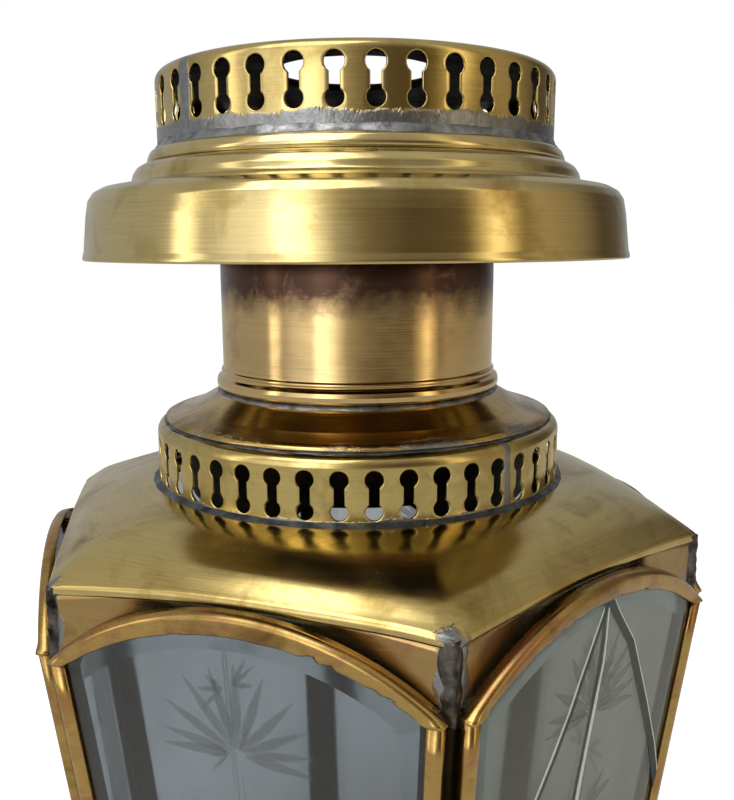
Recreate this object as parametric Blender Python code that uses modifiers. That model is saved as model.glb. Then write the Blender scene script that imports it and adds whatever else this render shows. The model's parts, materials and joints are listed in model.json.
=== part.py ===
"""Hexagonal brass candle lantern with a pierced gallery, a stack, a rain canopy and a pierced crown.

Frame: origin at the middle of the foot's underside, +Z up, metres. The glazed body is a hexagon with
corners on +X and -X, wider at the top than at the sill. Side 0 looks along -Y and the sides count
towards +X, so side 3, at the back, is the hinged door.
"""
import math

import bmesh
import bpy
from mathutils import Matrix, Vector

MM = 0.001
GAP = 0.3 * MM                       # clearance that touching pieces keep
SIDES = 6
HALF_SIDE = math.pi / SIDES          # half the angle that one side of the hexagon takes up
DOOR_SIDE = 3
ROUND_STEPS = 40

# --- glazed body: the outer planes of the corner posts -----------------------------------------
SILL_Z = 40 * MM                     # lower end of the glazing frames
SPRING_Z = 257 * MM                  # where the side channels end and the arches spring
SILL_APOTHEM = 83.8 * MM
SPRING_APOTHEM = 108.2 * MM
POST_LEG = 9 * MM
POST_WALL = 1.5 * MM
JOGGLE_HEIGHT = 3 * MM               # the posts step inwards behind the spandrels over this height

# --- glazing frames ---------------------------------------------------------------------------
FRAME_DEPTH = 4.8 * MM               # front of the frames, out from the posts
FRAME_WALL = 0.8 * MM
SIDE_FLANGE = 5.5 * MM
ARCH_FLANGE = 7 * MM
ARCH_RISE = 23.5 * MM
ARCH_TIP = 2 * MM                    # how far the arch's end reaches past the side flange
REAR_FLANGE = 4 * MM
CORNER_MARGIN = 4.3 * MM             # from a frame's outer edge to the corner line
ARCH_STEPS = 12
GLASS_WALL = 2.3 * MM
GLASS_EDGE = 1.2 * MM                # thickness left at the rim of the ground bevel
GLASS_BEVEL = 10 * MM

# --- roof and spandrels -----------------------------------------------------------------------
EAVE_Z = SPRING_Z + 22.2 * MM        # roof edge at the corners
EAVE_RISE = 3 * MM                   # roof edge at mid side, above the corners
EAVE_OVERHANG = 0.2 * MM
ROOF_WALL = 1.1 * MM
ROOF_TOP_Z = EAVE_Z + 14.8 * MM
GALLERY_RADIUS = 75.7 * MM
ROOF_HOLE_RADIUS = GALLERY_RADIUS - 3.7 * MM
ROOF_SEAT_RADIUS = GALLERY_RADIUS + 2.3 * MM
ROOF_CURVE = 1.6                     # exponent of the roof's fall
ROOF_RINGS = 5
ROOF_STEPS_PER_SIDE = 8
SPANDREL_WALL = 1.2 * MM
SPANDREL_LAP = 4 * MM                # how far the spandrel reaches behind the arch

# --- turned top -------------------------------------------------------------------------------
SHEET = 1 * MM
GALLERY_TOP_Z = ROOF_TOP_Z + 22 * MM
GALLERY_SLOTS = 44
GALLERY_TURN = math.radians(-1.0)
CROWN_RADIUS = 71.2 * MM
CROWN_SLOTS = 37
CROWN_TURN = math.radians(3.0)
SLOT_WAIST = 3.3 * MM
SLOT_UPPER_LOBE = 6.2 * MM
SLOT_LOWER_LOBE = 5.7 * MM
SLOT_PITCH = 10 * MM                 # between the centres of the two lobes
LOBE_STEPS = 5
STACK_RADIUS = 50.8 * MM
STACK_FOOT_Z = GALLERY_TOP_Z + 10.6 * MM
STACK_TOP_Z = STACK_FOOT_Z + 86.2 * MM
BEAD_HEIGHT = 2.5 * MM
SEAT_TOP_Z = STACK_TOP_Z - 0.9 * MM
CROWN_TOP_Z = SEAT_TOP_Z + 25.7 * MM
CANOPY_RADIUS = 98.5 * MM
CANOPY_TOP_Z = SEAT_TOP_Z - 5.3 * MM
CANOPY_RIM_Z = CANOPY_TOP_Z - 32.6 * MM
VENT_RADIUS = 29.4 * MM
CAP_RISE = 6.6 * MM

# --- base -------------------------------------------------------------------------------------
FOOT_RADIUS = 112 * MM               # to the corners
FOOT_HEIGHT = 20 * MM
FOOT_WALL = 1.5 * MM
FOOT_FLANGE = 8 * MM
FOOT_HOLE_RADIUS = 3.5 * MM
FOOT_HOLE_SPREAD = 18 * MM
TRAY_WALL = 1.2 * MM
TRAY_FLOOR = 1.5 * MM
TRAY_VENTS = 6
TRAY_VENT_RADIUS = 5 * MM
TRAY_VENT_CIRCLE = 60 * MM

# --- candle and its holder --------------------------------------------------------------------
PAN_RADIUS = 41 * MM
PAN_HEIGHT = 5.4 * MM
PAN_WALL = 0.8 * MM
CUP_WALL = 1 * MM
CUP_HEIGHT = 25 * MM
CANDLE_RADIUS = 12 * MM
CANDLE_LENGTH = 88 * MM
CANDLE_PLAY = 0.5 * MM
WICK_RADIUS = 0.9 * MM
WICK_LENGTH = 15 * MM
WICK_DEPTH = 8 * MM
SCREW_RADIUS = 1.7 * MM
SCREW_HEAD_RADIUS = 3.5 * MM
SCREW_HEAD_HEIGHT = 1.5 * MM
SCREW_LENGTH = 11 * MM
NUT_RADIUS = 4 * MM
NUT_HEIGHT = 3 * MM

# --- door hardware ----------------------------------------------------------------------------
HINGE_LOW = 40 * MM                  # hinge centres, up the side from the sill
HINGE_HIGH = 178 * MM
KNUCKLE_RADIUS = 2.3 * MM
KNUCKLE_LENGTH = 7.7 * MM
HINGE_LENGTH = 19 * MM
PIN_RADIUS = 0.85 * MM
LEAF_WALL = 1 * MM
LEAF_REACH = 9.5 * MM
LEAF_HEIGHT = 16 * MM
KNOB_RADIUS = 4 * MM
KNOB_HEIGHT = 110 * MM               # up the side from the sill
BUTTON_DROP = 8.5 * MM               # turn button's pivot, below the door's lower edge
BUTTON_LENGTH = 18 * MM
BUTTON_WIDTH = 5 * MM
BUTTON_WALL = 1.1 * MM
RIVET_RADIUS = 1.5 * MM

SLANT = math.atan((SPRING_APOTHEM - SILL_APOTHEM) / (SPRING_Z - SILL_Z))
SPREAD = math.atan(math.sin(SLANT) * math.tan(HALF_SIDE))   # lean of a corner line in its side's plane
SPRING_V = (SPRING_Z - SILL_Z) / math.cos(SLANT)
TRAY_BOTTOM_Z = FOOT_HEIGHT + GAP
TRAY_TOP_Z = SILL_Z - 1 * MM
POST_FOOT_Z = TRAY_BOTTOM_Z + TRAY_FLOOR + GAP


# ================================================================================ scene helpers
def clear_scene():
    for obj in list(bpy.data.objects):
        bpy.data.objects.remove(obj, do_unlink=True)


clear_scene()
PARTS = bpy.data.collections.new("candle_lantern")
CUTTERS = bpy.data.collections.new("cutters")
bpy.context.scene.collection.children.link(PARTS)
bpy.context.scene.collection.children.link(CUTTERS)


def make_material(name, colour, roughness, metallic, transmission=0.0):
    material = bpy.data.materials.new(name)
    material.use_nodes = True
    shader = material.node_tree.nodes["Principled BSDF"]
    shader.inputs["Base Color"].default_value = (*colour, 1)
    shader.inputs["Roughness"].default_value = roughness
    shader.inputs["Metallic"].default_value = metallic
    shader.inputs["Transmission Weight"].default_value = transmission
    material.diffuse_color = (*colour, 1)
    return material


BRASS = make_material("aged_brass", (0.42, 0.29, 0.09), 0.28, 1)
DARK_BRASS = make_material("brown_brass", (0.22, 0.13, 0.06), 0.38, 1)
COPPERED = make_material("coppered_brass", (0.40, 0.22, 0.13), 0.35, 1)
STEEL = make_material("zinced_steel", (0.50, 0.50, 0.48), 0.35, 1)
GLASS = make_material("bevelled_glass", (0.75, 0.82, 0.82), 0.04, 0, 1)
WAX = make_material("wax", (0.86, 0.80, 0.66), 0.45, 0)
COTTON = make_material("wick_cotton", (0.08, 0.06, 0.05), 0.9, 0)


def add_object(name, data, material, matrix=None, collection=PARTS):
    obj = bpy.data.objects.new(name, data)
    collection.objects.link(obj)
    if matrix is not None:
        obj.matrix_world = matrix
    if material is not None:
        data.materials.append(material)
    return obj


def hide_cutter(obj):
    obj.hide_render = True
    obj.display_type = "WIRE"
    return obj


def mesh_from(bm, name):
    bmesh.ops.recalc_face_normals(bm, faces=bm.faces[:])
    mesh = bpy.data.meshes.new(name)
    bm.to_mesh(mesh)
    bm.free()
    return mesh


def cut(obj, cutter, operation="DIFFERENCE"):
    boolean = obj.modifiers.new(f"{operation.lower()} {cutter.name}", "BOOLEAN")
    boolean.operation = operation
    boolean.solver = "EXACT"
    boolean.object = cutter


def soften(obj, width, segments=1, angle=40):
    bevel = obj.modifiers.new("soft edges", "BEVEL")
    bevel.width = width
    bevel.segments = segments
    bevel.limit_method = "ANGLE"
    bevel.angle_limit = math.radians(angle)


# ================================================================================ shape helpers
def turned(name, profile, material, steps=ROUND_STEPS, closed=False, wall=0.0, matrix=None,
           collection=PARTS):
    """Turn a profile of (radius, height) points, outer side from top to bottom, about +Z."""
    count = len(profile)
    edges = [(i, i + 1) for i in range(count - 1)]
    if closed:
        edges.append((count - 1, 0))
    mesh = bpy.data.meshes.new(name)
    mesh.from_pydata([(r, 0, z) for r, z in profile], edges, [])
    obj = add_object(name, mesh, material, matrix, collection)
    screw = obj.modifiers.new("turn", "SCREW")
    screw.axis = "Z"
    screw.steps = steps
    screw.render_steps = steps
    screw.use_merge_vertices = True
    screw.merge_threshold = 0.00001
    screw.use_smooth_shade = steps > SIDES
    if wall:
        shell = obj.modifiers.new("sheet", "SOLIDIFY")
        shell.thickness = wall
        shell.offset = -1
        shell.use_even_offset = True
    return obj


def loft(name, rings, material, matrix=None):
    """Skin a row of rings that have the same number of points, and cap both ends."""
    bm = bmesh.new()
    rows = [[bm.verts.new(point) for point in ring] for ring in rings]
    count = len(rows[0])
    for lower, upper in zip(rows, rows[1:]):
        for i in range(count):
            j = (i + 1) % count
            bm.faces.new((lower[i], lower[j], upper[j], upper[i]))
    bm.faces.new(rows[0])
    bm.faces.new(rows[-1])
    return add_object(name, mesh_from(bm, name), material, matrix)


def plate(name, outlines, thickness, material, matrix, collection=PARTS):
    """A flat plate in the local XY plane, centred on it. Outlines after the first are holes."""
    curve = bpy.data.curves.new(name, "CURVE")
    curve.dimensions = "2D"
    curve.fill_mode = "BOTH"
    curve.extrude = thickness / 2
    for outline in outlines:
        spline = curve.splines.new("POLY")
        spline.points.add(len(outline) - 1)
        for point, (x, y) in zip(spline.points, outline):
            point.co = (x, y, 0, 1)
        spline.use_cyclic_u = True
    return add_object(name, curve, material, matrix, collection)


def plate_mesh(name, outlines, thickness, material, matrix, collection=PARTS):
    """The same plate as a mesh, for pieces that are joined or drilled."""
    obj = plate(name + " outline", outlines, thickness, None, matrix, collection)
    bpy.context.view_layer.update()
    depsgraph = bpy.context.evaluated_depsgraph_get()
    mesh = bpy.data.meshes.new_from_object(obj.evaluated_get(depsgraph))
    bm = bmesh.new()
    bm.from_mesh(mesh)
    bmesh.ops.remove_doubles(bm, verts=bm.verts[:], dist=0.000001)
    bmesh.ops.recalc_face_normals(bm, faces=bm.faces[:])
    bm.to_mesh(mesh)
    bm.free()
    matrix_world = obj.matrix_world.copy()
    bpy.data.objects.remove(obj, do_unlink=True)
    return add_object(name, mesh, material, matrix_world, collection)


def rod_mesh(name, rods, segments=16):
    """A mesh of closed cylinders. Each rod is (matrix, radius, low, high) along its own Z."""
    bm = bmesh.new()
    for matrix, radius, low, high in rods:
        middle = Matrix.Translation((0, 0, (low + high) / 2))
        bmesh.ops.create_cone(bm, cap_ends=True, segments=segments, radius1=radius, radius2=radius,
                              depth=high - low, matrix=matrix @ middle)
    return mesh_from(bm, name)


def circle(radius, segments, centre=(0, 0)):
    step = 2 * math.pi / segments
    return [(centre[0] + radius * math.cos(i * step), centre[1] + radius * math.sin(i * step))
            for i in range(segments)]


def arc(radius, centre_y, half_angle, steps):
    """Points of an arch from its left end over the top to its right end."""
    points = []
    for i in range(steps + 1):
        angle = half_angle * (2 * i / steps - 1)
        points.append((radius * math.sin(angle), centre_y + radius * math.cos(angle)))
    return points


# ================================================================================ body geometry
def plan_direction(azimuth):
    return Vector((math.sin(azimuth), -math.cos(azimuth), 0))


def plan_tangent(azimuth):
    return Vector((math.cos(azimuth), math.sin(azimuth), 0))


def frame_matrix(x_axis, y_axis, z_axis, origin):
    matrix = Matrix((x_axis, y_axis, z_axis)).transposed().to_4x4()
    matrix.translation = origin
    return matrix


def side_matrix(side):
    """Local X along the sill, Y up the leaning side, Z out, from mid sill on the posts' plane."""
    azimuth = 2 * HALF_SIDE * side
    out = plan_direction(azimuth)
    up = out * math.sin(SLANT) + Vector((0, 0, math.cos(SLANT)))
    along = plan_tangent(azimuth)
    return frame_matrix(along, up, along.cross(up), out * SILL_APOTHEM + Vector((0, 0, SILL_Z)))


def upright_matrix(side, apothem):
    """Local X along the side, Y straight up from the floor, Z out, on an upright plane."""
    azimuth = 2 * HALF_SIDE * side
    out = plan_direction(azimuth)
    return frame_matrix(plan_tangent(azimuth), Vector((0, 0, 1)), out, out * apothem)


def apothem_at(z, out=0.0):
    """Apothem of the leaning side at a height, for a plane moved outwards."""
    return SILL_APOTHEM + (z - SILL_Z) * math.tan(SLANT) + out / math.cos(SLANT)


def corner_at(z, out=0.0):
    return apothem_at(z, out) / math.cos(HALF_SIDE)


def corner_line(v, w):
    """Half width of a side between its corner lines, at v up the side and w out from it."""
    return (SILL_APOTHEM + v * math.sin(SLANT) + w * math.cos(SLANT)) * math.tan(HALF_SIDE)


def frame_edge(v, inset=0.0):
    """Half width of a glazing frame's outer edge, moved in by an inset."""
    return corner_line(v, FRAME_DEPTH) - CORNER_MARGIN - inset / math.cos(SPREAD)


def arch_circle(half_chord, rise):
    """Radius and half angle of the circle through an arch's springings and crown."""
    radius = (half_chord ** 2 + rise ** 2) / (2 * rise)
    return radius, math.asin(half_chord / radius)


ARCH_HALF = frame_edge(SPRING_V)
ARCH_RADIUS, ARCH_ANGLE = arch_circle(ARCH_HALF, ARCH_RISE)
ARCH_CENTRE_V = SPRING_V + ARCH_RISE - ARCH_RADIUS
INNER_HALF = ARCH_HALF - SIDE_FLANGE - ARCH_TIP
INNER_RADIUS, INNER_ANGLE = arch_circle(INNER_HALF, ARCH_RISE - ARCH_FLANGE)
INNER_CENTRE_V = SPRING_V + ARCH_RISE - ARCH_FLANGE - INNER_RADIUS


def channel_section(flange):
    """A folded channel round the glass: (distance in from the outer edge, height out) points."""
    return [
        (0, GAP),
        (0, FRAME_DEPTH),
        (flange, FRAME_DEPTH),
        (flange, FRAME_DEPTH - FRAME_WALL),
        (FRAME_WALL, FRAME_DEPTH - FRAME_WALL),
        (FRAME_WALL, GAP + FRAME_WALL),
        (REAR_FLANGE, GAP + FRAME_WALL),
        (REAR_FLANGE, GAP),
    ]


def make_sash(name, side):
    """The U of side and bottom channels, mitred at its lower corners."""
    section = channel_section(SIDE_FLANGE)
    top = SPRING_V - GAP / 2
    rings = []
    for u_sign, v_from_inset in ((-1, False), (-1, True), (1, True), (1, False)):
        ring = []
        for inset, w in section:
            v = inset if v_from_inset else top
            ring.append((u_sign * frame_edge(v, inset), v, w))
        rings.append(ring)
    return loft(name, rings, BRASS, side_matrix(side))


def make_arch(name, side):
    """The bent channel over the head of a pane, its ends cut level."""
    outer = arc(ARCH_RADIUS, ARCH_CENTRE_V, ARCH_ANGLE, ARCH_STEPS)
    inner = arc(INNER_RADIUS, INNER_CENTRE_V, INNER_ANGLE, ARCH_STEPS)
    rings = []
    for (outer_u, outer_v), (inner_u, inner_v) in zip(outer, inner):
        across = Vector((inner_u - outer_u, inner_v - outer_v))
        flange = across.length
        across.normalize()
        rings.append([(outer_u + across.x * d, outer_v + across.y * d + GAP / 2, w)
                      for d, w in channel_section(flange)])
    return loft(name, rings, BRASS, side_matrix(side))


def pane_outline(inset):
    """Outline of a pane inside a frame: sill, leaning sides and arched head."""
    radius = ARCH_RADIUS - inset
    lean = math.tan(SPREAD)
    foot = frame_edge(0, inset)
    # the side meets the arch where the line u = foot + lean v crosses the circle
    a = 1 + lean ** 2
    b = foot * lean - ARCH_CENTRE_V
    c = foot ** 2 + ARCH_CENTRE_V ** 2 - radius ** 2
    head_v = (-b + math.sqrt(b * b - a * c)) / a
    half_angle = math.asin((foot + lean * head_v) / radius)
    head = arc(radius, ARCH_CENTRE_V, half_angle, ARCH_STEPS)
    return [(frame_edge(inset, inset), inset), (-frame_edge(inset, inset), inset)] + head


def make_pane(name, side):
    back = GAP + FRAME_WALL + GAP
    rim = pane_outline(FRAME_WALL + GAP)
    flat = pane_outline(FRAME_WALL + GAP + GLASS_BEVEL)
    rings = [
        [(u, v, back) for u, v in rim],
        [(u, v, back + GLASS_EDGE) for u, v in rim],
        [(u, v, back + GLASS_WALL) for u, v in flat],
    ]
    return loft(name, rings, GLASS, side_matrix(side))


def post_section(corner, apothem, z):
    """The folded angle of a corner post at one height."""
    before = 2 * HALF_SIDE * corner
    after = before + 2 * HALF_SIDE
    point = plan_direction(before + HALF_SIDE) * (apothem / math.cos(HALF_SIDE))
    inner = plan_direction(before + HALF_SIDE) * ((apothem - POST_WALL) / math.cos(HALF_SIDE))
    leg_before = point - plan_tangent(before) * POST_LEG
    leg_after = point + plan_tangent(after) * POST_LEG
    ring = [
        point,
        leg_before,
        leg_before - plan_direction(before) * POST_WALL,
        inner,
        leg_after - plan_direction(after) * POST_WALL,
        leg_after,
    ]
    return [(p.x, p.y, z) for p in ring]


def make_post(name, corner):
    """A corner angle that leans with the body and stands upright behind the spandrels."""
    behind_spandrel = SPRING_APOTHEM - SPANDREL_WALL - GAP
    joggle_low = SPRING_Z - JOGGLE_HEIGHT - GAP
    levels = [
        (POST_FOOT_Z, apothem_at(POST_FOOT_Z)),
        (joggle_low, apothem_at(joggle_low)),
        (SPRING_Z - GAP, behind_spandrel),
        (EAVE_Z - ROOF_WALL - 2 * MM, behind_spandrel),
    ]
    return loft(name, [post_section(corner, apothem, z) for z, apothem in levels], DARK_BRASS)


# ================================================================================ roof and eaves
EAVE_APOTHEM = SPRING_APOTHEM + EAVE_OVERHANG


def eave_height(share):
    """Height of the roof's edge; share runs from -1 to 1 along a side."""
    return EAVE_Z + EAVE_RISE * (1 - abs(share) ** 2.5)


def make_roof(name):
    """A pressed hood that goes from the gallery's circle to the hexagon of the eaves."""
    steps = SIDES * ROOF_STEPS_PER_SIDE
    shares = [-1 + 2 * i / ROOF_STEPS_PER_SIDE for i in range(ROOF_STEPS_PER_SIDE)]
    upper_rows = []
    for ring in range(-1, ROOF_RINGS + 1):
        row = []
        for side in range(SIDES):
            azimuth = 2 * HALF_SIDE * side
            for share in shares:
                angle = azimuth + math.atan(share * math.tan(HALF_SIDE))
                edge = EAVE_APOTHEM / math.cos(angle - azimuth)
                if ring < 0:
                    radius = ROOF_HOLE_RADIUS
                    height = ROOF_TOP_Z
                else:
                    run = ring / ROOF_RINGS
                    radius = ROOF_SEAT_RADIUS + (edge - ROOF_SEAT_RADIUS) * run
                    fall = ROOF_TOP_Z - eave_height(share)
                    height = ROOF_TOP_Z - fall * run ** ROOF_CURVE
                row.append(plan_direction(angle) * radius + Vector((0, 0, height)))
        upper_rows.append(row)
    lower_rows = [[p - Vector((0, 0, ROOF_WALL)) for p in row] for row in reversed(upper_rows)]
    bm = bmesh.new()
    rows = [[bm.verts.new(p) for p in row] for row in upper_rows + lower_rows]
    for here, following in zip(rows, rows[1:] + rows[:1]):
        for i in range(steps):
            j = (i + 1) % steps
            bm.faces.new((here[i], here[j], following[j], following[i]))
    obj = add_object(name, mesh_from(bm, name), BRASS)
    obj.data.shade_smooth()
    obj.data.set_sharp_from_angle(angle=math.radians(40))
    return obj


def make_spandrel(name, side):
    """The flat plate between the roof's edge and an arch, its lower edge following the arch."""
    half = (SPRING_APOTHEM - SPANDREL_WALL) * math.tan(HALF_SIDE) - GAP
    foot_z = SPRING_Z + GAP
    radius = ARCH_RADIUS - SPANDREL_LAP
    centre_z = SPRING_Z + ARCH_RISE - ARCH_RADIUS
    half_angle = math.acos((foot_z - centre_z) / radius)
    outline = [(-half, foot_z)] + arc(radius, centre_z, half_angle, ARCH_STEPS) + [(half, foot_z)]
    for i in range(ROOF_STEPS_PER_SIDE + 1):
        share = 1 - 2 * i / ROOF_STEPS_PER_SIDE
        outline.append((share * half, eave_height(share) - ROOF_WALL - GAP))
    matrix = upright_matrix(side, SPRING_APOTHEM - SPANDREL_WALL / 2)
    return plate(name, [outline], SPANDREL_WALL, COPPERED, matrix)


# ================================================================================ turned top
def slot_outline(upper_z):
    """A keyhole-and-dot slot: two round lobes joined by a waist."""
    lobes = []
    for lobe, z, turn in ((SLOT_UPPER_LOBE / 2, upper_z, 0), (SLOT_LOWER_LOBE / 2, upper_z - SLOT_PITCH, 1)):
        neck = math.asin(SLOT_WAIST / 2 / lobe)
        for i in range(LOBE_STEPS + 1):
            angle = -math.pi / 2 + neck + (2 * math.pi - 2 * neck) * i / LOBE_STEPS + turn * math.pi
            lobes.append((lobe * math.cos(angle), z + lobe * math.sin(angle)))
    return lobes


def slot_cutter(name, radius, upper_z, count, turn):
    """One radial slot, spun round into the full ring of slots."""
    reach = 4 * MM
    bm = bmesh.new()
    face = bm.faces.new([bm.verts.new((radius - reach, y, z)) for y, z in slot_outline(upper_z)])
    pushed = bmesh.ops.extrude_face_region(bm, geom=[face])["geom"]
    moved = [item for item in pushed if isinstance(item, bmesh.types.BMVert)]
    bmesh.ops.translate(bm, verts=moved, vec=(2 * reach, 0, 0))
    bmesh.ops.recalc_face_normals(bm, faces=bm.faces[:])
    bmesh.ops.rotate(bm, verts=bm.verts[:], cent=(0, 0, 0), matrix=Matrix.Rotation(math.pi / count, 3, "Z"))
    bmesh.ops.spin(bm, geom=bm.verts[:] + bm.edges[:] + bm.faces[:], cent=(0, 0, 0), axis=(0, 0, 1),
                   angle=2 * math.pi * (count - 1) / count, steps=count - 1, use_duplicate=True)
    cutter = add_object(name, mesh_from(bm, name), None, Matrix.Rotation(turn, 4, "Z"), CUTTERS)
    return hide_cutter(cutter)


def make_gallery():
    radius = GALLERY_RADIUS
    profile = [
        (radius - 6.2 * MM, GALLERY_TOP_Z),
        (radius - 2.7 * MM, GALLERY_TOP_Z),
        (radius - 0.9 * MM, GALLERY_TOP_Z - 1.0 * MM),
        (radius - 0.1 * MM, GALLERY_TOP_Z - 2.8 * MM),
        (radius, GALLERY_TOP_Z - 4.2 * MM),
        (radius, ROOF_TOP_Z + GAP),
    ]
    drum = turned("lower_gallery", profile, BRASS, steps=GALLERY_SLOTS, wall=SHEET,
                  matrix=Matrix.Rotation(GALLERY_TURN, 4, "Z"))
    cut(drum, slot_cutter("gallery slots", radius, GALLERY_TOP_Z - 7.8 * MM, GALLERY_SLOTS, GALLERY_TURN))


def make_cone():
    run = GALLERY_RADIUS - STACK_RADIUS - 6.6 * MM
    profile = [
        (STACK_RADIUS - 1.2 * MM, STACK_FOOT_Z - GAP),
        (STACK_RADIUS + 1.2 * MM, STACK_FOOT_Z - GAP),
        (STACK_RADIUS + 3.4 * MM, STACK_FOOT_Z - 1.5 * MM),
        (STACK_RADIUS + 3.4 * MM + 0.42623 * run, STACK_FOOT_Z - 6.2 * MM),
        (GALLERY_RADIUS - 3.2 * MM, GALLERY_TOP_Z + SHEET + GAP),
    ]
    turned("gallery_cone", profile, BRASS, wall=SHEET)


def make_stack():
    radius = STACK_RADIUS
    foot = STACK_FOOT_Z
    profile = [
        (radius, STACK_TOP_Z),
        (radius, foot + 6.4 * MM),
        (radius + 0.5 * MM, foot + 5.6 * MM),
        (radius + BEAD_HEIGHT, foot + 3.9 * MM),
        (radius + BEAD_HEIGHT, foot + 2.4 * MM),
        (radius + 0.8 * MM, foot + 0.8 * MM),
        (radius + 0.5 * MM, foot),
    ]
    turned("stack", profile, BRASS, wall=SHEET)


def make_canopy():
    radius = CANOPY_RADIUS
    top = CANOPY_TOP_Z
    profile = [
        (radius - 32.5 * MM, top),
        (radius - 23.0 * MM, top),
        (radius - 20.2 * MM, top - 1.6 * MM),
        (radius - 18.5 * MM, top - 3.7 * MM),
        (radius - 17.7 * MM, top - 6.0 * MM),
        (radius - 8.5 * MM, top - 8.3 * MM),
        (radius - 5.0 * MM, top - 10.1 * MM),
        (radius - 3.2 * MM, top - 12.6 * MM),
        (radius - 2.2 * MM, top - 17.8 * MM),
        (radius, CANOPY_RIM_Z),
    ]
    turned("canopy", profile, BRASS, wall=SHEET)


def make_crown_seat():
    profile = [
        (STACK_RADIUS + GAP, SEAT_TOP_Z),
        (CROWN_RADIUS + 1.1 * MM, SEAT_TOP_Z),
        (CROWN_RADIUS + 2.8 * MM, SEAT_TOP_Z - 1.3 * MM),
        (CROWN_RADIUS + 3.8 * MM, SEAT_TOP_Z - 3.3 * MM),
        (CROWN_RADIUS + 4.0 * MM, CANOPY_TOP_Z + GAP),
    ]
    turned("crown_seat", profile, BRASS, wall=SHEET)


def make_crown():
    radius = CROWN_RADIUS
    profile = [
        (radius - 7.7 * MM, CROWN_TOP_Z - 0.2 * MM),
        (radius - 4.7 * MM, CROWN_TOP_Z),
        (radius - 2.2 * MM, CROWN_TOP_Z - 0.4 * MM),
        (radius - 0.6 * MM, CROWN_TOP_Z - 1.6 * MM),
        (radius, CROWN_TOP_Z - 3.0 * MM),
        (radius, SEAT_TOP_Z + GAP),
    ]
    crown = turned("crown_gallery", profile, BRASS, steps=CROWN_SLOTS, wall=SHEET,
                   matrix=Matrix.Rotation(CROWN_TURN, 4, "Z"))
    cut(crown, slot_cutter("crown slots", radius, CROWN_TOP_Z - 6.6 * MM, CROWN_SLOTS, CROWN_TURN))


def make_cap():
    edge = CROWN_RADIUS * math.cos(math.pi / CROWN_SLOTS) - SHEET - GAP
    rim = CROWN_TOP_Z - 3.0 * MM
    run = edge - VENT_RADIUS
    profile = [
        (VENT_RADIUS, rim + CAP_RISE),
        (VENT_RADIUS + 0.33 * run, rim + 0.88 * CAP_RISE),
        (VENT_RADIUS + 0.62 * run, rim + 0.62 * CAP_RISE),
        (CROWN_RADIUS - 9.2 * MM, rim + 1.9 * MM),
        (CROWN_RADIUS - 4.7 * MM, rim + 0.8 * MM),
        (edge, rim),
    ]
    turned("crown_cap", profile, DARK_BRASS, wall=SHEET)


# ================================================================================ base
def make_foot():
    """A flared skirt of six sides, flanged at the top for the tray and underneath to stand on."""
    shoulder = corner_at(TRAY_BOTTOM_Z, GAP + TRAY_WALL) + 1.6 * MM
    profile = [
        (shoulder - 14 * MM, FOOT_HEIGHT),
        (shoulder - 1 * MM, FOOT_HEIGHT),
        (shoulder, FOOT_HEIGHT - 1.2 * MM),
        (shoulder + 2.0 * MM, FOOT_HEIGHT - 9 * MM),
        (FOOT_RADIUS - 5 * MM, 0.2 * FOOT_HEIGHT),
        (FOOT_RADIUS - 0.6 * MM, 2.4 * MM),
        (FOOT_RADIUS, 1.6 * MM),
        (FOOT_RADIUS, 0),
        (FOOT_RADIUS - FOOT_FLANGE, 0),
    ]
    foot = turned("base_foot", profile, BRASS, steps=SIDES, wall=FOOT_WALL)
    rods = []
    for side in range(SIDES):
        azimuth = 2 * HALF_SIDE * side
        for spread in (-FOOT_HOLE_SPREAD, FOOT_HOLE_SPREAD):
            height = 0.55 * FOOT_HEIGHT
            origin = plan_tangent(azimuth) * spread + Vector((0, 0, height))
            matrix = frame_matrix(plan_tangent(azimuth), Vector((0, 0, 1)), plan_direction(azimuth), origin)
            rods.append((matrix, FOOT_HOLE_RADIUS, 0.7 * FOOT_RADIUS, FOOT_RADIUS))
    cutter = add_object("foot holes", rod_mesh("foot holes", rods, segments=10), None, None, CUTTERS)
    cut(foot, hide_cutter(cutter))


def make_tray():
    """The floor pan, whose rim stands round the feet of the posts."""
    inner = GAP
    outer = GAP + TRAY_WALL
    floor_z = TRAY_BOTTOM_Z + TRAY_FLOOR
    profile = [
        (0, floor_z),
        (corner_at(floor_z, inner), floor_z),
        (corner_at(TRAY_TOP_Z, inner), TRAY_TOP_Z),
        (corner_at(TRAY_TOP_Z, outer), TRAY_TOP_Z),
        (corner_at(TRAY_BOTTOM_Z, outer), TRAY_BOTTOM_Z),
        (0, TRAY_BOTTOM_Z),
    ]
    tray = turned("base_tray", profile, BRASS, steps=SIDES)
    rods = [(Matrix.Identity(4), SCREW_RADIUS + GAP, 0, SILL_Z)]
    for vent in range(TRAY_VENTS):
        azimuth = 2 * math.pi * vent / TRAY_VENTS
        matrix = Matrix.Translation(plan_direction(azimuth) * TRAY_VENT_CIRCLE)
        rods.append((matrix, TRAY_VENT_RADIUS, 0, SILL_Z))
    pivot = side_matrix(DOOR_SIDE) @ Matrix.Translation((0, -BUTTON_DROP, 0))
    rods.append((pivot, RIVET_RADIUS + GAP, -8 * MM, 8 * MM))
    cutter = add_object("tray holes", rod_mesh("tray holes", rods, segments=12), None, None, CUTTERS)
    cut(tray, hide_cutter(cutter))


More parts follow.
